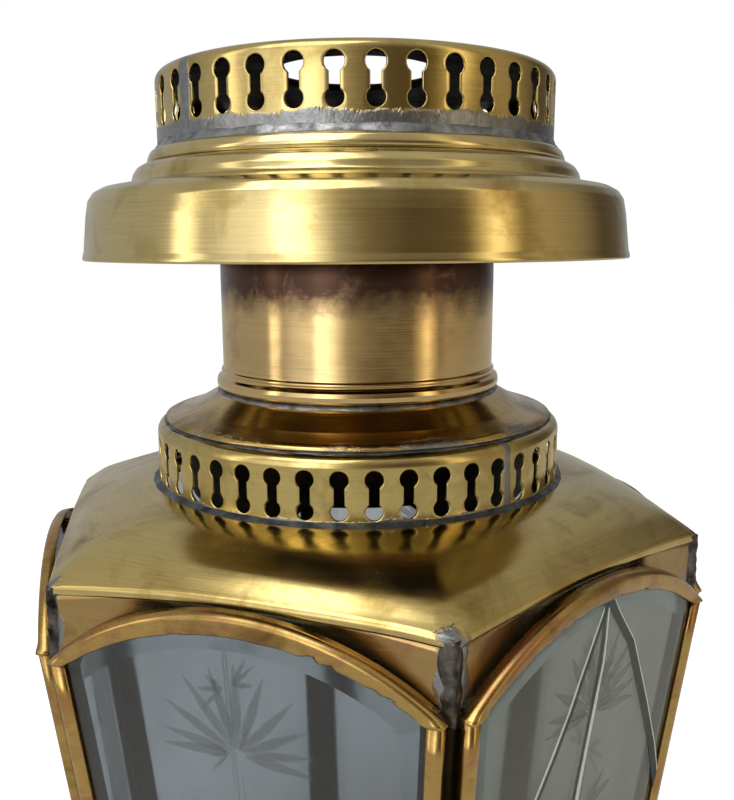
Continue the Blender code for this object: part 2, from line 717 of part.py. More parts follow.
def make_candle_holder():
    """A drip pan and a cup, clamped to the tray by one screw and its nut."""
    bore = SCREW_RADIUS + GAP
    pan_z = TRAY_BOTTOM_Z + TRAY_FLOOR + GAP
    pan_profile = [
        (bore, pan_z + PAN_WALL),
        (PAN_RADIUS - PAN_HEIGHT, pan_z + PAN_WALL),
        (PAN_RADIUS - PAN_WALL, pan_z + PAN_HEIGHT),
        (PAN_RADIUS, pan_z + PAN_HEIGHT),
        (PAN_RADIUS - PAN_HEIGHT + PAN_WALL, pan_z),
        (bore, pan_z),
    ]
    turned("drip_pan", pan_profile, BRASS, steps=24, closed=True)

    cup_z = pan_z + PAN_WALL + GAP
    cup_inner = CANDLE_RADIUS + CANDLE_PLAY
    cup_profile = [
        (cup_inner, cup_z + CUP_HEIGHT),
        (cup_inner + CUP_WALL, cup_z + CUP_HEIGHT),
        (cup_inner + CUP_WALL, cup_z),
        (bore, cup_z),
        (bore, cup_z + CUP_WALL),
        (cup_inner, cup_z + CUP_WALL),
    ]
    turned("candle_cup", cup_profile, BRASS, steps=24, closed=True)

    head_z = cup_z + CUP_WALL + GAP
    screw_profile = [
        (0, head_z + SCREW_HEAD_HEIGHT),
        (SCREW_HEAD_RADIUS, head_z + 0.7 * SCREW_HEAD_HEIGHT),
        (SCREW_HEAD_RADIUS, head_z),
        (SCREW_RADIUS, head_z),
        (SCREW_RADIUS, head_z - SCREW_LENGTH),
        (0, head_z - SCREW_LENGTH),
    ]
    turned("holder_screw", screw_profile, STEEL, steps=12)

    nut = add_object("holder_nut", rod_mesh("holder_nut", [
        (Matrix.Identity(4), NUT_RADIUS, TRAY_BOTTOM_Z - GAP - NUT_HEIGHT, TRAY_BOTTOM_Z - GAP)], segments=6), STEEL)
    bore_cutter = add_object("nut bore", rod_mesh("nut bore", [
        (Matrix.Identity(4), bore, 0, TRAY_BOTTOM_Z)], segments=12), None, None, CUTTERS)
    cut(nut, hide_cutter(bore_cutter))

    candle_z = head_z + SCREW_HEAD_HEIGHT + GAP
    candle_top = candle_z + CANDLE_LENGTH
    hollow = WICK_RADIUS + GAP
    candle_profile = [
        (0, candle_top - WICK_DEPTH),
        (hollow, candle_top - WICK_DEPTH),
        (hollow, candle_top - 2 * MM),
        (0.72 * CANDLE_RADIUS, candle_top - 1 * MM),
        (0.9 * CANDLE_RADIUS, candle_top),
        (CANDLE_RADIUS, candle_top - 1.2 * MM),
        (CANDLE_RADIUS, candle_z),
        (0, candle_z),
    ]
    turned("candle", candle_profile, WAX, steps=24)
    wick_z = candle_top - WICK_DEPTH + GAP
    wick_profile = [(0, wick_z + WICK_LENGTH), (WICK_RADIUS, wick_z + WICK_LENGTH), (WICK_RADIUS, wick_z), (0, wick_z)]
    turned("wick", wick_profile, COTTON, steps=8)


# ================================================================================ door hardware
def hinge_matrix(v):
    """Local Y up the corner line, Z out from the door, X towards the next side."""
    u = corner_line(v, FRAME_DEPTH)
    lean = Matrix.Rotation(-SPREAD, 4, "Z")
    return side_matrix(DOOR_SIDE) @ Matrix.Translation((u, v, FRAME_DEPTH)) @ lean


def along_y(matrix):
    """Turn a frame so that its own Z runs along the given frame's Y."""
    return matrix @ Matrix.Rotation(-math.pi / 2, 4, "X")


def make_hinge(label, v):
    """A three-knuckle butt hinge: fixed leaf on the post's corner, moving leaf on the door's frame."""
    matrix = hinge_matrix(v)
    axis = along_y(matrix)
    half = HINGE_LENGTH / 2
    knuckle = KNUCKLE_LENGTH / 2
    inner = knuckle + GAP
    bore = PIN_RADIUS + GAP

    bore_cutter = hide_cutter(add_object(f"hinge bore {label}", rod_mesh(f"hinge bore {label}", [
        (axis, bore, -half - 1 * MM, half + 1 * MM)], segments=12), None, None, CUTTERS))

    # the fixed leaf stands in the slot between two frames, edge on to the post's corner
    inward = Matrix.Rotation(HALF_SIDE, 4, "Y") @ Matrix.Rotation(math.pi / 2, 4, "Y")
    post_gap = FRAME_DEPTH / math.cos(HALF_SIDE) - GAP
    root = KNUCKLE_RADIUS - 0.4 * MM
    clear = KNUCKLE_RADIUS + 0.4 * MM
    comb = [(root, -half), (post_gap, -half), (post_gap, half), (root, half),
            (root, inner), (clear, inner), (clear, -inner), (root, -inner)]
    fixed = plate_mesh(f"hinge_fixed_{label}", [comb], LEAF_WALL, BRASS, matrix @ inward)
    ends = rod_mesh(f"fixed knuckles {label}", [
        (axis, KNUCKLE_RADIUS, -half, -inner), (axis, KNUCKLE_RADIUS, inner, half)])
    cut(fixed, hide_cutter(add_object(f"fixed knuckles {label}", ends, None, None, CUTTERS)), "UNION")
    cut(fixed, bore_cutter)

    # the moving leaf lies over the flange of the door's frame
    neck = KNUCKLE_RADIUS + 0.7 * MM
    tee = [(-0.3 * MM, -knuckle), (-0.3 * MM, knuckle), (-neck, knuckle), (-neck, LEAF_HEIGHT / 2),
           (-LEAF_REACH, LEAF_HEIGHT / 2), (-LEAF_REACH, -LEAF_HEIGHT / 2), (-neck, -LEAF_HEIGHT / 2), (-neck, -knuckle)]
    lift = Matrix.Translation((0, 0, GAP + LEAF_WALL / 2))
    moving = plate_mesh(f"hinge_door_{label}", [tee], LEAF_WALL, BRASS, matrix @ lift)
    middle = rod_mesh(f"door knuckle {label}", [(axis, KNUCKLE_RADIUS, -knuckle, knuckle)])
    cut(moving, hide_cutter(add_object(f"door knuckle {label}", middle, None, None, CUTTERS)), "UNION")
    cut(moving, bore_cutter)

    head = PIN_RADIUS + 0.9 * MM
    end = half + GAP
    pin_profile = [
        (0, end + 1.4 * MM), (head, end + 1 * MM), (head, end), (PIN_RADIUS, end),
        (PIN_RADIUS, -end), (head, -end), (head, -end - 1 * MM), (0, -end - 1.4 * MM),
    ]
    turned(f"hinge_pin_{label}", pin_profile, STEEL, steps=12, matrix=axis)


def make_turn_button():
    """A pivoted button on the tray's rim that turns up over the door's lower frame."""
    pivot = side_matrix(DOOR_SIDE) @ Matrix.Translation((0, -BUTTON_DROP, 0))
    rim_out = GAP + TRAY_WALL
    under = FRAME_DEPTH + GAP
    head_out = under + BUTTON_WALL + GAP
    shank = RIVET_RADIUS
    bore = RIVET_RADIUS + GAP

    half = BUTTON_WIDTH / 2
    tail = 5 * MM
    reach = BUTTON_LENGTH - tail
    outline = []
    for centre, start in ((reach - half, -math.pi / 2), (-tail + half, math.pi / 2)):
        for i in range(9):
            angle = start + math.pi * i / 8
            outline.append((centre + half * math.cos(angle), half * math.sin(angle)))
    hole = circle(bore, 12)
    lift = Matrix.Translation((0, 0, under + BUTTON_WALL / 2))
    plate("turn_button", [outline, hole], BUTTON_WALL, BRASS, pivot @ lift)

    spacer_radius = shank + 1.7 * MM
    spacer = [(bore, under - GAP), (spacer_radius, under - GAP), (spacer_radius, rim_out + GAP), (bore, rim_out + GAP)]
    turned("button_spacer", spacer, BRASS, steps=12, closed=True, matrix=pivot)

    rivet = [
        (0, head_out + 1.3 * MM), (shank + 1.3 * MM, head_out + 0.9 * MM), (shank + 1.3 * MM, head_out), (shank, head_out),
        (shank, 0), (shank + 1.1 * MM, 0), (shank + 1.1 * MM, -1 * MM), (0, -1 * MM),
    ]
    turned("button_rivet", rivet, BRASS, steps=12, matrix=pivot)


def make_knob():
    v = KNOB_HEIGHT
    seat = side_matrix(DOOR_SIDE) @ Matrix.Translation((-frame_edge(v, SIDE_FLANGE / 2), v, FRAME_DEPTH + GAP))
    radius = KNOB_RADIUS
    profile = [
        (0, 7.0 * MM), (0.55 * radius, 6.7 * MM), (0.9 * radius, 5.8 * MM), (radius, 4.6 * MM),
        (0.75 * radius, 3.4 * MM), (0.4 * radius, 2.6 * MM), (0.4 * radius, 1.0 * MM), (0.65 * radius, 0.8 * MM),
        (0.65 * radius, 0), (0, 0),
    ]
    turned("door_knob", profile, BRASS, steps=16, matrix=seat)


# ================================================================================ assembly
def build_lantern():
    make_foot()
    make_tray()
    make_candle_holder()
    for corner in range(SIDES):
        make_post(f"corner_post_{corner + 1}", corner)
    for side in range(SIDES):
        label = "door" if side == DOOR_SIDE else f"side_{side + 1}"
        make_pane(f"{label}_glass", side)
        make_sash(f"{label}_channel", side)
        make_arch(f"{label}_arch", side)
        make_spandrel(f"spandrel_{side + 1}", side)
    make_roof("roof_hood")
    make_gallery()
    make_cone()
    make_stack()
    make_canopy()
    make_crown_seat()
    make_crown()
    make_cap()
    make_hinge("low", HINGE_LOW)
    make_hinge("high", HINGE_HIGH)
    make_turn_button()
    make_knob()


build_lantern()
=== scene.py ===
# %% [markdown]
# # An aged brass candle lantern
# A six-sided lantern: leaning panes with arched heads, a pressed roof, a pierced gallery, a
# stack, a rain canopy and a pierced crown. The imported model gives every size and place, and these
# cells remake its pieces with the rolled edges, punched slots, solder and old brass that the real
# thing has.

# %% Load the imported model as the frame
import json
import math

import bmesh
import bpy
from mathutils import Matrix, Vector, noise


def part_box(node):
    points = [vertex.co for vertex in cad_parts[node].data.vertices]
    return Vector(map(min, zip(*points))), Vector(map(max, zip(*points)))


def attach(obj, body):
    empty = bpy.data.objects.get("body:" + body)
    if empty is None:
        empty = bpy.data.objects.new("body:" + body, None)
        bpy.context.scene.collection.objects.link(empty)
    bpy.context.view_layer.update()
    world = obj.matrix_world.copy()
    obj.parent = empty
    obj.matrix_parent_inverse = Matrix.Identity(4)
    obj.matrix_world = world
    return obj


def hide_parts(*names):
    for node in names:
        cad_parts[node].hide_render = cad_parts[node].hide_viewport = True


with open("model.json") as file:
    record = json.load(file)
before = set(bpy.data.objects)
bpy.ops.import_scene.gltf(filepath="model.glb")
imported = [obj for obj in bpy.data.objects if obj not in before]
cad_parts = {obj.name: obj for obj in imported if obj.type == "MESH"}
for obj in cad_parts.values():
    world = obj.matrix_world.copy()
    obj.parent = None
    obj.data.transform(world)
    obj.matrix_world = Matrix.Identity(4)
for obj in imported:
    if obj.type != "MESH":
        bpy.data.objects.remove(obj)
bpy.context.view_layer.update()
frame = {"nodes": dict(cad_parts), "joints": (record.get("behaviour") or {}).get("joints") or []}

print("nodes in the frame:", len(frame["nodes"]))

# %% [markdown]
# ## Camera
# The camera stands close to the lantern, level with the rim of its canopy, and looks slightly
# down. It is placed first, so that each piece can be judged from where it is seen.

# %% Camera
MM = 0.001
VIEW_TURN = math.radians(18.64)       # the camera's place round the lantern, from the front
CAMERA_REACH = 334 * MM
CAMERA_HEIGHT = 380 * MM

camera_data = bpy.data.cameras.new("camera")
camera_data.lens = 39.54
camera_data.sensor_width = 36
camera_data.clip_start = 0.01
camera = bpy.data.objects.new("camera", camera_data)
bpy.context.scene.collection.objects.link(camera)
place = Matrix.Rotation(VIEW_TURN, 4, "Z") @ Vector((0, -CAMERA_REACH, CAMERA_HEIGHT))
aim = (Matrix.Rotation(VIEW_TURN - math.radians(0.6), 4, "Z")
       @ Matrix.Rotation(math.radians(90 - 10.21), 4, "X")
       @ Matrix.Rotation(math.radians(-0.29), 4, "Z"))
camera.matrix_world = Matrix.Translation(place) @ aim
bpy.context.scene.camera = camera
print("camera at", [round(c, 3) for c in place])

# %% [markdown]
# ## Small tools
# A bmesh is filled by operators, turned into an object that rides on a body, and given its
# material. One function does the last part for every piece, so none is forgotten.

# %% Helpers for meshes
def smooth_noise(point, size):
    """A soft random number from -1 to 1 that changes over a given distance."""
    return noise.noise(Vector(point) / size)


def finish_piece(name, bm, material, stands_for=(), body="lantern", sharp=35,
                 tin=None, wall=0, second=None):
    """Turn a bmesh into a shaded object that rides on a body and stands for its CAD nodes.

    tin gives each point's share of solder, wall thickens an open sheet inwards, and second is the
    finish of the sheet's inner side or, without a wall, of the faces that were marked for it.
    """
    mesh = bpy.data.meshes.new(name)
    bm.to_mesh(mesh)
    bm.free()
    mesh.shade_smooth()
    mesh.set_sharp_from_angle(angle=math.radians(sharp))
    for finish in filter(None, (material, second)):
        mesh.materials.append(finish)
    if tin:
        layer = mesh.attributes.new("tin", "FLOAT", "POINT")
        for vert in mesh.vertices:
            layer.data[vert.index].value = tin(vert.co)
    piece = bpy.data.objects.new(name, mesh)
    bpy.context.scene.collection.objects.link(piece)
    if wall:
        sheet = piece.modifiers.new("sheet", "SOLIDIFY")
        sheet.thickness = wall
        sheet.offset = -1
        sheet.material_offset = 1 if second else 0
    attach(piece, body)
    if stands_for:
        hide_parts(*stands_for)
    print(name, "has", len(mesh.polygons), "faces")


def radial(co):
    """Straight out from the axis at a point."""
    return Vector((co.x, co.y, 0)).normalized()


def flat_out(co):
    """Level, away from the axis."""
    return Vector((co.x, co.y, 0))


def outward(angle):
    """Straight out from the axis, at an angle round it from the front."""
    return Vector((math.sin(angle), -math.cos(angle), 0))


def sideways(angle):
    """Level along the side that faces an angle."""
    return Vector((math.cos(angle), math.sin(angle), 0))


def straight_up(co):
    """Along Z, which is also out of a flat drawing."""
    return Vector((0, 0, 1))


def up_and_out(centre):
    """The way that the visible side of a turned sheet looks."""
    return radial(centre) + Vector((0, 0, 1))


def face_towards(bm, away=up_and_out):
    """Close the seams, and turn an open sheet so that its faces look the given way."""
    bmesh.ops.remove_doubles(bm, verts=bm.verts[:], dist=0.002 * MM)
    bmesh.ops.recalc_face_normals(bm, faces=bm.faces[:])
    score = 0
    for face in bm.faces:
        score += face.normal.dot(away(face.calc_center_median())) * face.calc_area()
    if score < 0:
        bmesh.ops.reverse_faces(bm, faces=bm.faces[:])


def rounded(points, radius, steps=4):
    """A line of (across, up) points with each inner corner bent round a radius."""
    line = [Vector(points[0])]
    for before, here, after in zip(points, points[1:], points[2:]):
        here = Vector(here)
        back = Vector(before) - here
        ahead = Vector(after) - here
        reach = min(radius / math.tan(back.angle(ahead) / 2), 0.45 * min(back.length, ahead.length))
        start = here + back.normalized() * reach
        end = here + ahead.normalized() * reach
        for i in range(steps + 1):
            t = i / steps
            line.append(start * (1 - t) ** 2 + here * 2 * t * (1 - t) + end * t ** 2)
    line.append(Vector(points[-1]))
    return line


def turn_profile(profile, rounding, steps=128, closed=False):
    """Spin a wire of (radius, height) points, its corners rounded, about the axis."""
    bm = bmesh.new()
    line = rounded(profile, rounding) if rounding else profile
    points = [bm.verts.new((across, 0, up)) for across, up in line]
    for pair in zip(points, points[1:] + points[:1] if closed else points[1:]):
        bm.edges.new(pair)
    bmesh.ops.spin(bm, geom=bm.verts[:] + bm.edges[:], cent=(0, 0, 0), axis=(0, 0, 1),
                   angle=2 * math.pi, steps=steps, use_merge=True)
    if closed:
        bmesh.ops.remove_doubles(bm, verts=bm.verts[:], dist=0.002 * MM)
        bmesh.ops.recalc_face_normals(bm, faces=bm.faces[:])
    else:
        face_towards(bm)
    return bm


def extrude_row(bm, verts, edges, points):
    """Extrude a line of edges once and put its new points in place, in the same order."""
    grown = bmesh.ops.extrude_edge_only(bm, edges=edges)["geom"]
    edges = [item for item in grown if isinstance(item, bmesh.types.BMEdge)]
    order = {vert: i for i, vert in enumerate(verts)}
    row = [None] * len(verts)
    for vert in (item for item in grown if isinstance(item, bmesh.types.BMVert)):
        for edge in vert.link_edges:
            if edge.other_vert(vert) in order:
                row[order[edge.other_vert(vert)]] = vert
    for vert, point in zip(row, points):
        vert.co = point
    return row, edges


def skin(rows, closed=True):
    """Extrude a ring of points, or an open line of them, through all the rows of a sheet."""
    bm = bmesh.new()
    verts = [bm.verts.new(p) for p in rows[0]]
    ahead = verts[1:] + verts[:1] if closed else verts[1:]
    edges = [bm.edges.new(pair) for pair in zip(verts, ahead)]
    for row in rows[1:]:
        verts, edges = extrude_row(bm, verts, edges, row)
    return bm


def dent(bm, depth, size):
    """Push every point in or out a little, as old sheet metal is never quite true."""
    for vert in bm.verts:
        out = Vector((vert.co.x, vert.co.y, 0))
        if out.length > 1 * MM:
            vert.co += out.normalized() * depth * smooth_noise(vert.co, size)


def share(value, low, high):
    """How far a value has gone from low to high, eased at both ends."""
    t = min(1, max(0, (value - low) / (high - low)))
    return t * t * (3 - 2 * t)

# %% Helpers for materials
def srgb(code):
    """A colour written as #rrggbb, as the linear numbers that shaders use."""
    parts = [int(code[i:i + 2], 16) / 255 for i in (1, 3, 5)]
    return tuple(c / 12.92 if c <= 0.04045 else ((c + 0.055) / 1.055) ** 2.4 for c in parts) + (1,)


def set_inputs(node, *first, **named):
    """Fill inputs by place and by name. A node as a value means its first live output."""
    sockets = list(node.inputs[:len(first)])
    sockets += [node.inputs[name.replace("_", " ")] for name in named]
    for socket, value in zip(sockets, (*first, *named.values())):
        if isinstance(value, bpy.types.Node):
            value = next(output for output in value.outputs if output.enabled)
        if isinstance(value, bpy.types.NodeSocket):
            node.id_data.links.new(value, socket)
        else:
            socket.default_value = value


def add_node(owner, kind, *first, stops=(), **named):
    """Add a shader node. Capitalised names are its inputs, the others are its settings."""
    node = owner.node_tree.nodes.new("ShaderNode" + kind)
    for name in [name for name in named if name.islower()]:
        setattr(node, name, named.pop(name))
    set_inputs(node, *first, **named)
    if stops:
        elements = node.color_ramp.elements
        while len(elements) < len(stops):
            elements.new(0.5)
        for element, stop in zip(elements, stops):
            element.position, element.color = stop
    return node


def start_material(name, **inputs):
    """A new material, its Principled shader and its object coordinates."""
    material = bpy.data.materials.new(name)
    material.use_nodes = True
    shader = material.node_tree.nodes["Principled BSDF"]
    set_inputs(shader, **inputs)
    return material, shader, add_node(material, "TexCoord").outputs["Object"]

# %% [markdown]
# ## Aged brass
# Old lacquer-free brass is polished by hand where a cloth can reach and brown or coppery where it
# can't. The eye reads it from four things: a warm metal that mirrors the room softly, fine level
# scratches from the lathe or the cloth, clouds of olive and brown tarnish, and pink bloom where
# the zinc has gone. Each brass below is this recipe with its own colours and amounts.

# %% Aged brass
TIN = 0.62                            # a tin layer at its fullest
SOLDER_BRIGHT = "#a9abad"
SOLDER_DULL = "#55575c"


def aged_brass(name, clean, tarnish, bloom, tarnish_share=0.5, bloom_share=0.4, roughness=0.24,
               ripple=0.10, brown_top_and_shade=None):
    """Brushed brass with tarnish clouds. The last argument is a (height, spread) above which it
    stays brown: patina, and painted shade under the canopy.
    """
    material, shader, spot = start_material(name, Metallic=1.0)

    # clouds of about 25 mm, with mottling inside them
    cloud = add_node(material, "TexNoise", Vector=spot, Scale=40, Detail=6, Roughness=0.62,
        Distortion=0.5)
    amount = add_node(material, "MapRange", Value=cloud, From_Min=0.66 - 0.35 * tarnish_share,
        From_Max=0.90 - 0.35 * tarnish_share)
    # above a ragged height the brass goes brown: patina, and painted shade under the canopy
    if brown_top_and_shade:
        height, spread = brown_top_and_shade
        parts = add_node(material, "SeparateXYZ", Vector=spot)
        ragged = add_node(material, "TexNoise", Vector=spot, Scale=120, Detail=5, Roughness=0.65)
        lift = add_node(material, "Math", ragged, 14 * MM, parts.outputs["Z"],
            operation="MULTIPLY_ADD")
        level = add_node(material, "MapRange", Value=lift, From_Min=height + 7 * MM - spread,
            From_Max=height + 7 * MM + spread)
        amount = add_node(material, "Math", amount, level, operation="MAXIMUM")
    stained = add_node(material, "Mix", Factor=amount, A=srgb(clean), B=srgb(tarnish),
        data_type="RGBA")

    # pink bloom in patches of about 15 mm
    patch = add_node(material, "TexNoise", Vector=spot, Scale=66, Detail=8, Roughness=0.7,
        Distortion=0.9)
    pink = add_node(material, "MapRange", Value=patch, From_Min=0.66 - 0.25 * bloom_share,
        From_Max=0.80 - 0.25 * bloom_share, To_Max=0.9 * bloom_share)
    bloomed = add_node(material, "Mix", Factor=pink, A=stained, B=srgb(bloom), data_type="RGBA")

    # level scratches about 0.35 mm apart, drawn a little coarse so that they show
    stretch = add_node(material, "Mapping", Vector=spot, Scale=(30, 30, 2800))
    scratch = add_node(material, "TexNoise", Vector=stretch, Scale=1, Detail=3, Roughness=0.6)
    worn = add_node(material, "MapRange", Value=scratch, From_Min=0.25, From_Max=0.75, To_Min=0.88,
        To_Max=1.08)
    shaded = add_node(material, "VectorMath", bloomed, worn, operation="MULTIPLY")

    # solder where the piece's tin layer says so, with a ragged edge and its own crust
    layer = add_node(material, "Attribute", attribute_name="tin")
    crust = add_node(material, "TexNoise", Vector=spot, Scale=300, Detail=5, Roughness=0.65)
    edge = add_node(material, "Math", crust, 0.45, layer.outputs["Fac"], operation="MULTIPLY_ADD")
    tinned = add_node(material, "MapRange", Value=edge, From_Min=0.55, From_Max=0.72)
    grey = add_node(material, "Mix", Factor=crust, A=srgb(SOLDER_DULL), B=srgb(SOLDER_BRIGHT),
        data_type="RGBA")
    surface = add_node(material, "Mix", Factor=tinned, A=shaded, B=grey, data_type="RGBA")

    # tarnish is rougher than polished metal, and solder rougher still
    gloss = add_node(material, "MapRange", Value=amount, To_Min=roughness, To_Max=roughness + 0.14)
    fine = add_node(material, "Math", scratch, 0.10, gloss, operation="MULTIPLY_ADD")
    dull = add_node(material, "Mix", Factor=tinned, A=fine, B=0.3)

    # hand-planished ripple of about 18 mm under the scratches, and lumps where there is solder
    swell = add_node(material, "TexNoise", Vector=spot, Scale=55, Detail=2, Roughness=0.45)
    waves = add_node(material, "Bump", Height=swell, Distance=ripple * MM)
    lines = add_node(material, "Bump", Height=scratch, Distance=0.004 * MM, Normal=waves)
    lump = add_node(material, "Math", crust, tinned, operation="MULTIPLY")
    lumps = add_node(material, "Bump", Height=lump, Distance=0.35 * MM, Normal=lines)
    set_inputs(shader, Base_Color=surface, Roughness=dull, Normal=lumps)
    return material


canopy_brass = aged_brass("canopy_brass", "#cbb983", "#9d8749", "#bd9577", 0.5, 0.35, 0.10)
# the stack's brown top is patina, and painted shade under the canopy
stack_brass = aged_brass("stack_brass", "#cdb27f", "#553f35", "#c39a80", 0.15, 0.4, 0.07,
                         brown_top_and_shade=(359 * MM, 5 * MM))
gallery_brass = aged_brass("gallery_brass", "#c8b475", "#8f7a42", "#a88061", 0.5, 0.3, 0.13)
crown_brass = aged_brass("crown_brass", "#c3af74", "#8d7a48", "#a98267", 0.55, 0.35, 0.13)
cone_brass = aged_brass("cone_brass", "#c9aa6c", "#7f6435", "#9a7752", 0.55, 0.4, 0.12)
roof_brass = aged_brass("roof_brass", "#cab577", "#8f783c", "#b5876a", 0.5, 0.45, 0.13)
frame_brass = aged_brass("frame_brass", "#b89a5c", "#6d4f2d", "#a3704f", 0.45, 0.75, 0.17)
spandrel_brass = aged_brass("spandrel_brass", "#a88d5c", "#5f4a33", "#a06d58", 0.5, 0.6, 0.2)
# painted shade: a near-black brass for the corner posts, the backs of the frames and the crown cap,
# standing in for the shade inside the lantern
shadow_brass = aged_brass("shadow_brass", "#332a1d", "#17120c", "#2e2216", 0.7, 0.3, 0.4)
print("brasses:", [m.name for m in bpy.data.materials if "brass" in m.name])

# %% [markdown]
# ## Solder
# The sheets are joined with tin-lead solder, laid on with an iron. It is grey, dull where it has
# aged and bright on the lumps that get rubbed, and it never runs to a straight edge.

# %% Tin-lead solder
def tin_lead_solder(name, bright, dull, roughness):
    material, shader, spot = start_material(name, Metallic=1.0)
    crust = add_node(material, "TexNoise", Vector=spot, Scale=160, Detail=6, Roughness=0.65)
    tone = add_node(material, "ValToRGB", Fac=crust,
        stops=[ (0.36, srgb(dull)), (0.66, srgb(bright))])
    rough = add_node(material, "MapRange", Value=crust, From_Min=0.3, From_Max=0.7,
        To_Min=roughness + 0.15, To_Max=roughness - 0.08)
    lumps = add_node(material, "TexNoise", Vector=spot, Scale=420, Detail=3, Roughness=0.5)
    bump = add_node(material, "Bump", Height=lumps, Distance=0.22 * MM)
    set_inputs(shader, Base_Color=tone, Roughness=rough, Normal=bump)
    return material


# soot and painted shade: a near-black finish for inner sides, darker than the light inside would
# make them
soot_and_shade = aged_brass("soot_and_shade_brass", "#2b241b", "#15110d", "#31241a", 0.7, 0.2, 0.5)
solder = tin_lead_solder("tin_lead_solder", "#a3a5a6", "#5d5f62", 0.36)
dark_solder = tin_lead_solder("dark_solder", "#70757c", "#363a42", 0.42)
burnt_solder = tin_lead_solder("burnt_solder", "#75716d", "#211d1d", 0.34)

# %% [markdown]
# ## Turned top
# The canopy, the stack and the rings were spun on a lathe. Each is a wire drawn down the outer
# side of the sheet, with its corners rounded, spun about the axis and given the sheet's
# thickness.

# %% Sizes taken from the frame
crown_low, crown_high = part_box("crown_gallery")
seat_low, seat_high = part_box("crown_seat")
canopy_low, canopy_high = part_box("canopy")
stack_low, stack_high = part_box("stack")
cone_low, cone_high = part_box("gallery_cone")
gallery_low, gallery_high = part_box("lower_gallery")
cap_low, cap_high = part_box("crown_cap")
roof_low, roof_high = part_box("roof_hood")
SHEET = 0.9 * MM
CROWN_RADIUS = crown_high.x
GALLERY_RADIUS = gallery_high.x
CANOPY_RADIUS = canopy_high.x
STACK_RADIUS = stack_high.x - 2.5 * MM
print("crown, gallery, canopy, stack radius in mm:",
      [round(r / MM, 1) for r in (CROWN_RADIUS, GALLERY_RADIUS, CANOPY_RADIUS, STACK_RADIUS)])

# %% Profiles in millimetres
def around(radius, level, offsets):
    """Profile points, given in millimetres from a radius and a level."""
    return [(radius + across * MM, level + up * MM) for across, up in offsets]


def turned_piece(name, node, material, profile, rounding, dents=(0, MM), tin=None, second=None,
                 steps=128):
    """Spin a sheet, dent it by a depth over a distance, and let it stand for its node."""
    bm = turn_profile(profile, rounding * MM, steps)
    dent(bm, *dents)
    finish_piece(name, bm, material, [node], sharp=60, tin=tin, wall=SHEET, second=second)

# %% [markdown]
# ## Canopy and step
# The canopy throws rain clear of the stack, and the moulded step above it holds the crown. A
# moulding is stiff because its sheet keeps changing direction, so the profile has a point at each
# change.

# %% Rain canopy
profile = around(CANOPY_RADIUS, canopy_high.z, [
    (-32.5, 0), (-22.6, 0), (-20, -1.5), (-18.6, -3.6), (-17.8, -6.4), (-15.4, -6.9), (-8.2, -8.3),
    (-5, -10), (-3.2, -12.6), (-2.2, -17.8)])
profile += around(CANOPY_RADIUS, canopy_low.z, [(-0.8, 3.2), (-0.2, 1.2), (-0.3, 0.2), (-1.6, 0.3)])
turned_piece("canopy_skin", "canopy", canopy_brass, profile, 2.5, (0.25 * MM, 30 * MM), steps=160)

# %% Upper moulded step and the crown's floor
profile = [(stack_high.x - 2.2 * MM, seat_high.z)]
profile += around(CROWN_RADIUS, seat_high.z, [(0.8, 0), (2.8, -1.2), (3.7, -3.2)])
profile += around(CROWN_RADIUS, seat_low.z, [(4.1, 0.1)])
turned_piece("crown_seat_skin", "crown_seat", canopy_brass, profile, 1.6, (0.15 * MM, 20 * MM))

# %% [markdown]
# ## Stack and cone
# The stack is a tube with a bead and a roll at its foot, which seats on a cone. The cone hands
# the round stack's load to the wider gallery; its outer seam is soldered, so its tin layer grows
# towards that edge.

# %% Stack with its rolled bead
profile = [(STACK_RADIUS, stack_high.z)] + around(STACK_RADIUS, stack_low.z, [
    (0, 40), (0, 7.9), (0.7, 7.5), (0.8, 6.8), (0.5, 6.2), (1, 5.4), (2.1, 4.6), (2.5, 3.2),
    (2.4, 1.6), (1.5, 0.2)])
# the stack's inside takes the soot-and-shade finish
turned_piece("stack_skin", "stack", stack_brass, profile, 0.6, (0.2 * MM, 40 * MM), second=soot_and_shade)

# %% Cone, with solder along its outer seam
def cone_tin(co):
    reach = math.hypot(co.x, co.y)
    seam = 0.75 - abs(reach - (GALLERY_RADIUS - 5 * MM)) / (9 * MM)
    return seam + 0.5 * smooth_noise(co, 22 * MM) - 0.25


profile = around(STACK_RADIUS, cone_high.z, [(-1.2, 0), (1.6, 0), (4, -1.6), (11.6, -5.9)])
profile += around(GALLERY_RADIUS, cone_low.z, [(-7, 2.1), (-3.2, 0.9)])
turned_piece("cone_skin", "gallery_cone", cone_brass, profile, 3, (0.3 * MM, 18 * MM), cone_tin,
             soot_and_shade)

# %% [markdown]
# ## Inner flue
# A plain sleeve stands inside the gallery and takes the hot air up the stack. It is near-black,
# soot and painted shade, and it is why the slots look black. Its foot is cut higher for a short
# way, where the lantern's inside shows.

# %% Inner flue
sleeve = GALLERY_RADIUS - 12 * MM
low_foot = roof_high.z - 5 * MM
bm = turn_profile([(STACK_RADIUS - 1.4 * MM, cone_high.z - 1 * MM),
                   (STACK_RADIUS - 1.4 * MM, gallery_high.z - 2.5 * MM),
                   (sleeve, gallery_high.z - 6 * MM), (sleeve, low_foot)], 1 * MM)
for vert in bm.verts:
    turn = math.degrees(math.atan2(vert.co.x, -vert.co.y) - VIEW_TURN)
    if vert.co.z < low_foot + 0.5 * MM:
        vert.co.z += 7.2 * MM * share(abs(turn), 21, 16)
finish_piece("inner_flue", bm, soot_and_shade, sharp=60, wall=0.6 * MM)

# %% [markdown]
# ## Crown cap
# A shallow cap with a vent in its middle closes the crown. It is one more turned profile, and it is
# dark: it takes the shadow brass, painted shade, with the soot-and-shade finish underneath.

